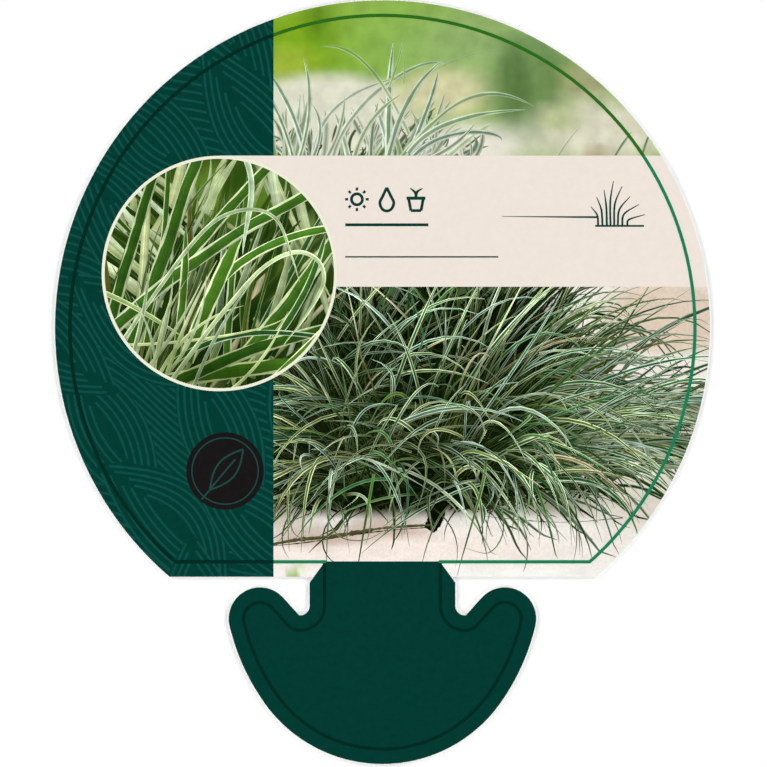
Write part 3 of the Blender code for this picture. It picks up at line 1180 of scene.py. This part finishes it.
# Loose blades in the close-up: number, feet across and up, lean, reach, half width, near, light, blur, plain
PALE, DARK = (-1.0, -0.6), (0.2, 0.9)
LOOSE = (
    (18, (-25, -17), (3, 22), (2.3, 0.12), (22, 34), (0.3, 0.7), (-50, -36), (0.95, 1.3), (0.06, 0.25), PALE),
    (22, (-25, -17), (3, 22), (2.3, 0.12), (22, 34), (0.3, 0.7), (-50, -36), (0.1, 0.4), (0.06, 0.2), DARK),
    (34, (-20, 14), (-22, -10), (0.35, 0.3), (20, 36), (0.4, 1.1), (-50, -32), (0.1, 0.5), (0.1, 0.35), DARK),
    (17, (-20, 14), (-22, -12), (0.35, 0.35), (22, 38), (0.3, 0.7), (-48, -32), (0.8, 1.25), (0.08, 0.3),
     PALE),
    (9, (-13, -1), (5, 9), (0.2, 0.2), (9, 15), (0.35, 0.7), (-50, -36), (0.85, 1.2), (0.1, 0.3), PALE),
    (8, (2, 16), (16, 20), (2.7, 0.2), (16, 30), (0.4, 0.8), (-50, -36), (0.95, 1.3), (0.15, 0.35), PALE),
    (27, (-16, 6), (-20, -10), (0.3, 0.25), (16, 30), (0.22, 0.6), (-28, -12), (0.2, 1.0), (0.0, 0.12),
     (-0.5, 0.4)),
    (7, (-13, 0), (-20, -16), (0.3, 0.3), (13, 21), (0.18, 0.3), (20, 32), (0.8, 1.15), (0.0, 0.1),
     (-0.8, -0.3)),
)

# The nearest blades in the close-up: points from foot to tip, half width, light, hue, taper, plainness
FRONT = (
    (((0.2, -0.8), (7.4, 4.0), (16.4, 6.4)), 0.66, 1.1, 0.4, 0.0, 0.0),
    (((-4.6, -12.0), (-0.4, -1.6), (3.2, 5.4)), 1.1, 0.95, 0.3, 0.3, 0.0),
    (((-16.5, -12.0), (-12.2, 3.0), (-8.0, 17.0)), 0.86, 0.62, 0.5, 0.0, 0.0),
    (((-10.2, -10.0), (-7.9, 3.0), (-7.0, 16.5)), 0.42, 0.75, 0.4, 0.0, 0.0),
    (((-12.6, -12.0), (-7.0, 4.4), (-2.6, 17.0)), 1.05, 0.72, 0.45, 0.0, 0.0),
    (((-7.8, -2.0), (0.9, 8.4), (8.2, 16.2)), 0.8, 0.85, 0.4, 0.0, 0.0),
    (((-15.6, -8.8), (-3.4, 1.6), (13.6, 11.6)), 0.92, 0.85, 0.45, 0.0, 0.0),
    (((-5.9, -12.0), (-4.9, -1.5), (-4.6, 6.6)), 0.62, 0.85, 0.35, 0.35, 0.0),
    (((1.2, -14.0), (8.4, -5.4), (15.6, 4.4)), 1.1, 0.82, 0.35, 0.0, 0.0),
    (((7.6, -9.0), (12.0, -2.0), (14.6, 5.5)), 0.5, 0.95, 0.6, 0.2, 0.0),
    (((-9.0, -15.2), (2.4, -13.3), (12.6, -12.4)), 1.15, 0.8, 0.3, 0.0, 0.0),
    (((-6.0, -15.0), (4.4, -10.6), (15.6, -7.4)), 0.95, 0.62, 0.5, 0.0, 0.0),
    (((-9.4, -15.2), (-3.0, -10.2), (5.0, -8.2), (14.4, -8.8)), 0.42, 0.8, 0.8, 0.0, 0.0),
    (((-16.0, -2.6), (-11.2, -4.9), (-5.2, -8.6)), 0.36, 1.15, 0.2, 0.3, -0.3),
    (((-15.6, -9.8), (-6.0, -9.4), (3.6, -8.0), (9.0, -6.0)), 0.2, 1.1, 0.15, 0.5, -0.7),
    (((-9.6, -17.0), (-4.4, -8.6), (3.4, -4.4)), 0.26, 1.1, 0.2, 0.5, -0.6),
    (((3.2, 16.6), (4.4, 12.0), (3.9, 7.4), (3.2, 2.6)), 0.42, 1.2, 0.9, 0.4, -0.5),
    (((-8.2, -17.0), (-3.6, -10.6), (0.6, -5.2), (5.8, 0.6), (10.2, 2.9), (13.4, 1.9), (14.3, -1.2),
     (12.0, -5.6), (8.8, -9.8)), 0.31, 1.2, 0.45, 0.2, -0.45),
    (((-15.6, -12.6), (-12.0, -7.4), (-8.4, -2.2), (-4.0, 3.8), (0.0, 7.6), (4.6, 8.8), (8.0, 7.2),
     (9.9, 2.4), (11.0, -1.2)), 0.28, 1.1, 0.55, 0.3, -0.35),
    (((4.8, -17.0), (10.4, -11.6), (15.4, -6.6)), 0.5, 1.1, 0.25, 0.0, 0.0),
    (((1.5, -16.0), (6.0, -11.4), (9.4, -5.2)), 0.22, 1.1, 0.15, 0.5, -0.7),
    (((-12.8, -14.0), (-10.6, -6.0), (-9.6, 1.2)), 0.3, 1.0, 0.5, 0.5, -0.3),
    (((-9.4, -16.0), (-8.2, -9.0), (-6.4, -2.6)), 0.26, 1.1, 0.3, 0.5, -0.5),
)
CLOSE_WITHERED = 0.04  # share of the loose blades that are withered
CLOSE_REACH = 17  # mm from the middle to the sides of the part that is shaded
CLOSE_DEEP, CLOSE_CONTRAST = 46.0, 1.1  # mm, and a power, as in TuftSettings
CLOSE_POOLS = (
    (-1.0, -13.5, 9.0, 3.2, 0.5),
    (-7.0, -10.5, 3.5, 3.5, 0.65),
    (1.0, 0.5, 6.0, 4.0, 1.25),
    (11.0, 4.5, 4.0, 4.0, 1.3),
)


def close_blades(seed, centre):
    """Broad blades seen close up, fanning upwards, for the round close-up."""
    blades = Blades(seed)
    draw = blades.random
    for number, x, y, lean, reach, half, near, light, blur, plain in LOOSE:
        for _ in range(number):
            way, length, bow = draw.normal(*lean), draw.uniform(*reach), draw.normal(0, 1.0)
            foot = np.array((draw.uniform(*x), draw.uniform(*y))) + centre
            run = np.array((math.sin(way), math.cos(way))) * length
            points = (foot, foot + run / 2 + (bow * math.cos(way), -bow * math.sin(way)), foot + run)
            withered = draw.uniform() < CLOSE_WITHERED
            hue = 0.0 if withered else float(np.clip(0.5 + 0.25 * draw.normal(), 0.12, 1))
            drawn = [draw.uniform(*span) for span in (half, near, light, plain, blur)]
            blades.lay(points, *drawn[:3], hue, *drawn[3:], 0.4)
    for k, (points, half, light, hue, tip, plain) in enumerate(FRONT):
        blades.lay(np.array(points) + centre, half, 1.2 * k, light, hue, plain, tip=tip)
    blades.shade(np.array(centre) - CLOSE_REACH, np.array(centre) + CLOSE_REACH, CLOSE_DEEP, CLOSE_CONTRAST)
    blades.dapple([(x + centre[0], y + centre[1], *rest) for x, y, *rest in CLOSE_POOLS])
    return blades


# Soft spots behind the blades, over a base colour: colour, x, y, half width, half height, softness, stone
FAR_BASE = ("#8AAE4C", 0.0)
FAR_SPOTS = (
    ("#7BA51E", -11.0, 46.0, 9.5, 6.5, 0.6, 0.0),
    ("#9DB53A", -13.5, 43.6, 4.0, 2.2, 0.8, 0.0),
    ("#8AB34F", 3.0, 47.0, 8.0, 5.5, 0.7, 0.0),
    ("#5C861C", -8.8, 49.0, 1.5, 2.6, 0.9, 0.0),
    ("#8FAE6A", 14.0, 46.0, 9.0, 5.5, 0.7, 0.0),
    ("#7C9E62", 21.5, 45.5, 5.0, 3.0, 0.7, 0.0),
    ("#DCDBC6", -7.5, 36.4, 12.5, 5.8, 0.2, 0.1),
    ("#CFCDA0", 8.5, 39.6, 7.0, 3.2, 0.55, 0.0),
    ("#6E8E54", 20.0, 39.5, 5.6, 6.4, 0.6, 0.0),
    ("#55743E", 18.2, 41.0, 1.8, 5.0, 0.9, 0.0),
    ("#67854A", 22.6, 38.5, 1.6, 5.0, 0.9, 0.0),
    ("#9C9E74", 28.0, 41.0, 3.2, 3.0, 0.7, 0.0),
    ("#D6D4BC", 30.0, 34.2, 9.0, 4.4, 0.5, 0.1),
    ("#B4BE8C", 24.5, 36.2, 2.6, 1.6, 0.8, 0.0),
    ("#E4DFD2", 11.0, 32.3, 9.0, 3.2, 0.6, 0.1),
    ("#A8946E", 29.5, 31.6, 1.9, 0.8, 0.8, 0.0),
)
MEADOW_BASE = ("#EFEAE2", 1.0)
MEADOW_SPOTS = (
    ("#F6E9DF", 2.0, -23.0, 18.0, 2.4, 0.8, 1.0),
    ("#CFC6B8", -6.0, -19.2, 12.0, 1.9, 0.4, 1.0),
    ("#E9E3DC", -7.0, -18.9, 4.0, 1.0, 0.8, 1.0),
    ("#C4AFA2", -9.0, -21.5, 7.0, 0.9, 0.8, 1.0),
    ("#CDB5A8", 1.0, -20.4, 5.0, 1.0, 0.8, 1.0),
    ("#3C3828", 1.0, -16.8, 19.5, 1.5, 0.7, 0.5),
    ("#8A8873", 24.0, -15.6, 9.0, 2.4, 0.8, 0.8),
    ("#0B1804", 0.0, 0.0, 27.5, 17.0, 0.12, 0.0),
    ("#3E5433", 4.0, 12.5, 17.0, 4.5, 0.5, 0.0),
    ("#DECBB8", 39.0, 8.6, 9.5, 5.6, 0.3, 1.0),
    ("#EBE4DB", 39.0, 2.4, 9.0, 1.8, 0.4, 1.0),
    ("#75745A", 37.0, -3.6, 9.0, 2.4, 0.6, 0.4),
    ("#B9A493", 38.5, -8.8, 6.0, 2.6, 0.5, 1.0),
    ("#D8D2C4", 36.5, -16.2, 8.0, 4.0, 0.5, 1.0),
    ("#F6F3EE", 15.0, -27.4, 34.0, 2.4, 0.5, 0.5),
    ("#9FC43E", -11.4, -25.8, 1.1, 0.6, 0.5, 0.0),
    ("#8DB436", -12.3, -26.5, 0.8, 0.5, 0.5, 0.0),
)
CLOSE_BASE = ("#1E3808", 0.0)
CLOSE_SPOTS = (
    ("#608428", 1, 11, 7.0, 4.0, 0.7, 0.0),
    ("#2C4C0C", 3, 12.5, 2.0, 3.4, 0.6, 0.0),
    ("#4E6C24", -12, 4, 4.5, 6.0, 0.6, 0.0),
    ("#425818", 9, -1, 5.0, 3.6, 0.6, 0.0),
    ("#6A8240", 13, 4, 2.6, 4.0, 0.6, 0.0),
    ("#0E2206", -4, -9, 10.0, 6.0, 0.6, 0.0),
)
CLOSE_SEED = 21
FAR_SEED_STEP = 4  # added to the tuft's seed for the picture above the band
BAND_TUCK = 0.1  # mm that the pictures reach under the band
RING_TUCK = 0.05  # mm that the close-up reaches under the ring


class LABEL_OT_picture(bpy.types.Operator):
    """Prints the grass picture above and below the band"""

    bl_idname = "label.picture"
    bl_label = "Grass Picture"

    def execute(self, context):
        sizes, tuft = context.scene.label_sizes, context.scene.label_tuft
        near_ink = picture_ink(
            "four_colour_offset_picture",
            ("#726C42", "#45661C", "#2B5A1E", "#1E522C"),
            ("#CCC2A6", "#C7CB9E", "#C0CEAE", "#BACFC0"),
            "#020A00",
            (0.47, 0.66),
            0.55,
        )
        far_ink = picture_ink(
            "four_colour_offset_far_picture",
            ("#A8A070", "#44762A", "#387238", "#2E6A48"),
            ("#E2DCC4", "#D8E6B8", "#D6E6C8", "#D6E8DA"),
            "#142E0C",
            (0.26, 0.56),
            0.6,
        )
        upper = printed_face("picture_print_upper", PICTURE_LAYER)
        trim(0, sizes.panel_edge / MM, -1)
        trim(1, sizes.band_top / MM - BAND_TUCK, -1)
        print_picture(upper, far_tuft(tuft.seed + FAR_SEED_STEP), FAR_BASE, FAR_SPOTS, PICTURE_LAYER)
        finish_piece(upper, "picture_ink", far_ink)

        lower = printed_face("picture_print_lower", PICTURE_LAYER)
        trim(0, sizes.panel_edge / MM, -1)
        trim(1, sizes.band_bottom / MM + BAND_TUCK, 1)
        trim(1, HEAD_CUT_Y, -1)
        blades = meadow_tuft(tuft.seed, tuft.deep / MM, tuft.contrast)
        print_picture(lower, blades, MEADOW_BASE, MEADOW_SPOTS, PICTURE_LAYER)
        finish_piece(lower, "picture_ink", near_ink)
        return {"FINISHED"}


class LABEL_OT_band(bpy.types.Operator):
    """Prints the cream band and the pale ring at its left end"""

    bl_idname = "label.band"
    bl_label = "Cream Band"

    def execute(self, context):
        sizes, colours = context.scene.label_sizes, context.scene.label_colours
        band = printed_face("band_print", BAND_LAYER)
        trim(1, sizes.band_top / MM, 1)
        trim(1, sizes.band_bottom / MM, -1)
        trim(0, sizes.inset_x / MM, -1)
        finish_piece(band, "cream_ink", flat_ink("offset_warm_cream_ink", colours.band, 0.015))

        centre = (sizes.inset_x / MM, sizes.inset_y / MM)
        ring = disc("ring_print", centre, (sizes.inset_radius + sizes.ring_width) / MM, RING_LAYER)
        bpy.ops.mesh.inset(thickness=sizes.ring_width, depth=0)
        bpy.ops.mesh.delete(type="FACE")
        finish_piece(ring, "cream_ink", flat_ink("offset_pale_cream_ink", colours.ring, 0.015))
        return {"FINISHED"}


class LABEL_OT_close_up(bpy.types.Operator):
    """Prints the round close-up of broad blades"""

    bl_idname = "label.close_up"
    bl_label = "Close-up"

    def execute(self, context):
        sizes = context.scene.label_sizes
        x, y = centre = (sizes.inset_x / MM, sizes.inset_y / MM)
        piece = disc("close_up_print", centre, sizes.inset_radius / MM + RING_TUCK, CLOSE_UP_LAYER)
        spots = [(code, x + right, y + up, *rest) for code, right, up, *rest in CLOSE_SPOTS]
        blades = close_blades(CLOSE_SEED, centre)
        print_picture(piece, blades, CLOSE_BASE, spots, CLOSE_UP_LAYER, cell=1.2)
        ink = picture_ink(
            "four_colour_offset_close_up",
            ("#A0924E", "#4E7C20", "#3A6A1E", "#245A26"),
            ("#EEE4BC", "#E0EEAC", "#E4F2C4", "#DCF0CC"),
            "#041600",
            (0.62, 0.8),
            0.8,
        )
        finish_piece(piece, "picture_ink", ink)
        return {"FINISHED"}


DISC_MIDDLE = (-21.6, -12.19)  # mm, the middle of the dark disc
DISC_CIRCLE = (4.55, 0.09)  # mm, radius and half width of the line inside the disc's edge
LEAF_LINE = 0.12  # mm, half the width of the leaf's lines
LEAF_FOOT, LEAF_AXIS = (-2.1, -2.6), np.array((4.6, 5.6))  # mm, from the disc's middle, and from foot to tip
LEAF_SIDE, LEAF_HALF = np.array((-0.77, 0.64)), 1.35  # the way across the leaf, and mm to its edge
SIGN_ENDS = (-8.0, 39.0)  # mm, left and right ends of the part of the band that has signs
SIGN_INSET = 0.5  # mm, how far it keeps from the band's upper and lower edges


def round_points(middle, radius, count):
    """Points all round a circle, the first of which comes again at the end."""
    turns = np.linspace(0, 2 * math.pi, count)
    return [(middle[0] + radius * math.cos(a), middle[1] + radius * math.sin(a)) for a in turns]


def disc_lines():
    """The quads of a plain leaf outline with its midrib, inside a thin round line."""
    t = np.linspace(0, 1, 25)[:, None]
    radius, half = DISC_CIRCLE
    lines = [stroke(round_points((0, 0), radius, 37), half, 97)]
    for sign in (-1, 1):
        edge = t * LEAF_AXIS + LEAF_FOOT + sign * LEAF_HALF * np.sin(math.pi * t) * LEAF_SIDE
        lines.append(stroke(edge, LEAF_LINE, 49))
    lines.append(stroke(((-3.2, -3.9), (-0.9, -1.1), (1.4, 1.6)), LEAF_LINE))
    return np.concatenate(lines) + DISC_MIDDLE


def band_signs():
    """The quads of the band's care signs and writing rules, and of a clump of grass on a line of ground.

    Each stroke has its points, half width, and how many points its curve is drawn through.
    """
    sun, drop, pot = (-3.5, 25.1), (0.6, 25.1), (4.6, 25.1)
    strokes = [(round_points(sun, 0.75, 25), 0.2, 49)]
    rays = zip(round_points(sun, 1.2, 9)[:-1], round_points(sun, 1.62, 9))
    strokes += [(ends, 0.17, 3) for ends in rays]
    right = ((0.0, 1.6), (0.55, 0.45), (0.95, -0.45), (0.65, -1.3))
    left = [(-x, y) for x, y in right]
    strokes.append((moved(drop, left + [(0.0, -1.6)] + list(right[::-1])), 0.2, 49))
    wall = ((-1.0, 0.1), (-0.7, -1.55), (0.7, -1.55), (1.0, 0.1))
    strokes += [(moved(pot, ends), 0.2, 3) for ends in zip(wall, wall[1:])]
    strokes += [
        (moved(pot, ((-1.3, 0.15), (1.3, 0.15))), 0.22, 3),  # the pot's rim, and two leaves out of it
        (moved(pot, ((0.0, 0.2), (-0.1, 0.9), (-0.8, 1.55))), (0.17, 0.19, 0.06), 9),
        (moved(pot, ((0.0, 0.2), (0.15, 1.0), (0.9, 1.5))), (0.17, 0.19, 0.06), 9),
        (((-5.1, 21.6), (6.3, 21.6)), 0.2, 3),  # the writing rules
        (((-5.1, 17.2), (15.9, 17.2)), 0.1, 3),
        (((16.4, 22.75), (22.0, 22.7), (29.6, 22.65)), (0.03, 0.08, 0.14), 9),  # the ground
        (((29.2, 21.45), (35.9, 21.45)), 0.13, 3),
    ]
    for foot, tip, rise, lean in (  # the clump's blades
        (29.6, 28.6, 2.6, -0.5),
        (30.2, 29.4, 3.9, -0.6),
        (30.8, 30.4, 4.9, -0.35),
        (31.3, 31.7, 6.1, -0.1),
        (31.8, 32.9, 5.4, 0.4),
        (32.3, 34.0, 4.0, 0.9),
        (32.9, 35.2, 2.9, 1.1),
        (33.6, 36.0, 1.5, 1.0),
    ):
        blade = ((foot, 21.5), (foot + 0.25 * lean, 21.5 + 0.55 * rise), (tip, 21.5 + rise))
        strokes.append((blade, (0.14, 0.13, 0.05), 11))
    return np.concatenate([stroke(*each) for each in strokes])


def moved(middle, points):
    """Points given from the middle of a sign, as places on the print."""
    return [(middle[0] + x, middle[1] + y) for x, y in points]


class LABEL_OT_signs(bpy.types.Operator):
    """Prints the dark disc, and the signs and writing rules on the band"""

    bl_idname = "label.signs"
    bl_label = "Signs"

    def execute(self, context):
        sizes, colours = context.scene.label_sizes, context.scene.label_colours
        dark = disc("disc_print", DISC_MIDDLE, sizes.disc_radius / MM, DISC_LAYER, count=96)
        lines = disc_lines()
        print_lines(dark, lines, np.ones(len(lines)), DISC_LAYER)
        finish_piece(
            dark,
            "deep_green_ink",
            flat_ink("offset_near_black_ink", colours.disc, 0.1),
            flat_ink("offset_grey_green_line_ink", colours.leaf, 0.05),
        )

        signs = printed_face("sign_print", SIGN_LAYER)
        trim(0, SIGN_ENDS[0], -1)
        trim(0, SIGN_ENDS[1], 1)
        trim(1, sizes.band_bottom / MM + SIGN_INSET, -1)
        trim(1, sizes.band_top / MM - SIGN_INSET, 1)
        lines = band_signs()
        print_lines(signs, lines, np.zeros(len(lines)), SIGN_LAYER, ground=False)
        finish_piece(signs, "deep_green_ink", flat_ink("offset_dark_green_sign_ink", colours.sign, 0.05))
        return {"FINISHED"}


ON_PALE, ON_GREEN, ON_FOLIAGE = 0, 1, 2  # the edge line's inks
CORNER_CUT = 0.08  # mm, how far a notch's outer corner is cut back


class LABEL_OT_edge_line(bpy.types.Operator):
    """Prints the thin line that follows the cut edge"""

    bl_idname = "label.edge_line"
    bl_label = "Edge Line"

    def execute(self, context):
        sizes, colours = context.scene.label_sizes, context.scene.label_colours
        piece = printed_face("edge_line_print", LINE_LAYER)
        ease_neck(piece)
        bpy.ops.mesh.inset(thickness=sizes.line_inset - sizes.line_width / 2 - CUT_ROUNDING * MM, depth=0)
        bpy.ops.mesh.select_all(action="INVERT")
        bpy.ops.mesh.delete(type="FACE")
        bpy.ops.mesh.select_all(action="SELECT")
        bpy.ops.mesh.inset(thickness=sizes.line_width, depth=0)
        bpy.ops.mesh.delete(type="FACE")
        tongue = sizes.tongue_top - sizes.line_width / 2
        for place, normal in (
            ((sizes.panel_edge, 0, 0), (1, 0, 0)),
            ((0, tongue, 0), (0, 1, 0)),
            ((0, sizes.band_top, 0), (0, 1, 0)),
        ):
            bpy.ops.mesh.select_all(action="SELECT")
            bpy.ops.mesh.bisect(plane_co=place, plane_no=normal)
        finish_piece(
            piece,
            "deep_green_ink",
            flat_ink("overprinted_line_on_pale_ink", colours.line_light, 0.06),
            flat_ink("overprinted_line_on_green_ink", colours.line_dark, 0.06),
            flat_ink("overprinted_line_on_foliage_ink", colours.line_foliage, 0.06),
        )
        for face in piece.data.polygons:
            if face.center.x < sizes.panel_edge or face.center.y < tongue:
                face.material_index = ON_GREEN
            elif face.center.y > sizes.band_top:
                face.material_index = ON_FOLIAGE
            else:
                face.material_index = ON_PALE
        return {"FINISHED"}


def ease_neck(piece):
    """Squares the neck's flare and rounds the notches' outer corners, so that the line stays smooth there."""
    shape = bmesh.from_edit_mesh(piece.data)
    for corner in shape.verts:
        x, y = abs(corner.co.x) / MM, corner.co.y / MM
        # the printed face has a corner within a fraction of a millimetre of each of these places
        if abs(y - FLARE[1]) < 0.2 and abs(x - FLARE[0]) < 0.3:
            corner.co.x = math.copysign(NECK_SIDE * MM, corner.co.x)
        corner.select_set(abs(y - NOTCH[1]) < 0.07 and abs(x - NOTCH[0]) < 0.07)
    shape.select_flush(True)
    bmesh.update_edit_mesh(piece.data)
    bpy.ops.mesh.select_mode(type="VERT")
    bpy.ops.mesh.bevel(offset=CORNER_CUT * MM, segments=5, affect="VERTICES")
    bpy.ops.mesh.select_mode(type="FACE")
    bpy.ops.mesh.select_all(action="SELECT")


FLOOR_SIZE = 4.0  # m
SOFTBOXES = (35, 145, 215, 325)  # degrees round the label
SOFTBOX_RISE = 35  # degrees above the floor
SOFTBOX_DISTANCE, SOFTBOX_SIZE = 0.9, 0.5  # m
SOFTBOX_POWER = 3.76  # W
LENS, SENSOR = 200.0, 36.0  # mm
SPAN = 105.27  # mm of the printed face that the picture takes in
AIM = (0.144, -0.178)  # mm, the middle of the picture


class LABEL_OT_stage(bpy.types.Operator):
    """Makes the floor, the lights and the camera"""

    bl_idname = "label.stage"
    bl_label = "Stage"

    def execute(self, context):
        context.scene.view_settings.view_transform = "Standard"
        lay_floor()
        light_room(context.scene)
        for number, turn in enumerate(SOFTBOXES):
            hang_softbox(f"softbox_{number + 1}", math.radians(turn), math.radians(SOFTBOX_RISE))

        # the photograph looks straight down
        height = FACE + SPAN * LENS / SENSOR * MM
        bpy.ops.object.camera_add(location=(AIM[0] * MM, AIM[1] * MM, height), rotation=(0, 0, 0))
        camera = context.object
        camera.data.lens = LENS
        camera.data.sensor_width = SENSOR
        camera.data.clip_start, camera.data.clip_end = 0.01, 10.0
        context.scene.camera = camera
        return {"FINISHED"}


def lay_floor():
    """A matt painted table top, near white, which takes soft shadows and mirrors nothing."""
    bpy.ops.object.select_all(action="DESELECT")
    bpy.ops.mesh.primitive_plane_add(size=FLOOR_SIZE, location=(0, 0, 0))
    floor = bpy.context.object
    floor.name = floor.data.name = "floor"
    material, tree, shader = new_material("pale_matt_table_top")
    place = add_node(tree, "ShaderNodeTexCoord").outputs["Object"]
    cloud = add_node(tree, "ShaderNodeTexNoise", {"Vector": place, "Scale": 6.0, "Detail": 3.0})
    shade = add_node(
        tree,
        "ShaderNodeMix",
        {"Factor": cloud.outputs["Fac"], "A": linear("#FAFAFA"), "B": linear("#FDFDFD")},
        data_type="RGBA",
    )
    tree.links.new(shade.outputs["Result"], shader.inputs["Base Color"])
    shader.inputs["Roughness"].default_value = 0.85
    floor.data.materials.append(material)


def light_room(scene):
    """A white room with lit walls and a dark ceiling, so that the varnish mirrors little of it."""
    world = bpy.data.worlds.new("studio")
    scene.world = world
    world.use_nodes = True
    sky = world.node_tree
    way = add_node(sky, "ShaderNodeTexCoord").outputs["Generated"]
    height = add_node(sky, "ShaderNodeSeparateXYZ", {"Vector": way}).outputs["Z"]
    fall = add_node(
        sky,
        "ShaderNodeMapRange",
        {"Value": height, "From Min": 0.35, "From Max": 0.75, "To Min": 0.3, "To Max": 0.01},
        interpolation_type="SMOOTHSTEP",
    )
    ground = sky.nodes["Background"]
    sky.links.new(fall.outputs["Result"], ground.inputs["Strength"])
    ground.inputs["Color"].default_value = WHITE


def hang_softbox(name, turn, rise):
    """A square softbox that looks at the label from one side."""
    flat = math.cos(rise)
    where = Vector((math.cos(turn) * flat, math.sin(turn) * flat, math.sin(rise))) * SOFTBOX_DISTANCE
    bpy.ops.object.light_add(type="AREA", location=where)
    lamp = bpy.context.object
    lamp.name = name
    lamp.data.shape = "SQUARE"
    lamp.data.size = SOFTBOX_SIZE
    lamp.data.energy = SOFTBOX_POWER
    lamp.rotation_mode = "QUATERNION"
    lamp.rotation_quaternion = (-where).to_track_quat("-Z", "Y")


class LABEL_PT_print(bpy.types.Panel):
    """Lists the label's prints and their settings"""

    bl_idname = "LABEL_PT_print"
    bl_label = "Plant Label"
    bl_space_type = "VIEW_3D"
    bl_region_type = "UI"
    bl_category = "Label"

    def draw(self, context):
        for pointer in GROUPS:
            group = getattr(context.scene, pointer)
            box = self.layout.box()
            for name in group.__annotations__:
                box.prop(group, name)
        for operator in OPERATORS:
            self.layout.operator(operator.bl_idname)


GROUPS = {"label_sizes": PrintSizes, "label_colours": PrintColours, "label_tuft": TuftSettings}
OPERATORS = (
    LABEL_OT_sheet,
    LABEL_OT_panel,
    LABEL_OT_picture,
    LABEL_OT_band,
    LABEL_OT_close_up,
    LABEL_OT_tongue,
    LABEL_OT_signs,
    LABEL_OT_edge_line,
    LABEL_OT_stage,
)


def register():
    """Adds the settings, the operators and the panel."""
    for group in GROUPS.values():
        bpy.utils.register_class(group)
    for name, group in GROUPS.items():
        setattr(bpy.types.Scene, name, bpy.props.PointerProperty(type=group))
    for operator in OPERATORS:
        bpy.utils.register_class(operator)
    bpy.utils.register_class(LABEL_PT_print)


def unregister():
    """Takes away the panel, the operators and the settings."""
    bpy.utils.unregister_class(LABEL_PT_print)
    for operator in reversed(OPERATORS):
        bpy.utils.unregister_class(operator)
    for name, group in GROUPS.items():
        delattr(bpy.types.Scene, name)
        bpy.utils.unregister_class(group)


def main():
    """Prints the whole label."""
    register()
    bpy.ops.label.sheet()
    bpy.ops.label.panel()
    bpy.ops.label.picture()
    bpy.ops.label.band()
    bpy.ops.label.close_up()
    bpy.ops.label.tongue()
    bpy.ops.label.signs()
    bpy.ops.label.edge_line()
    bpy.ops.label.stage()


if __name__ == "__main__":
    main()
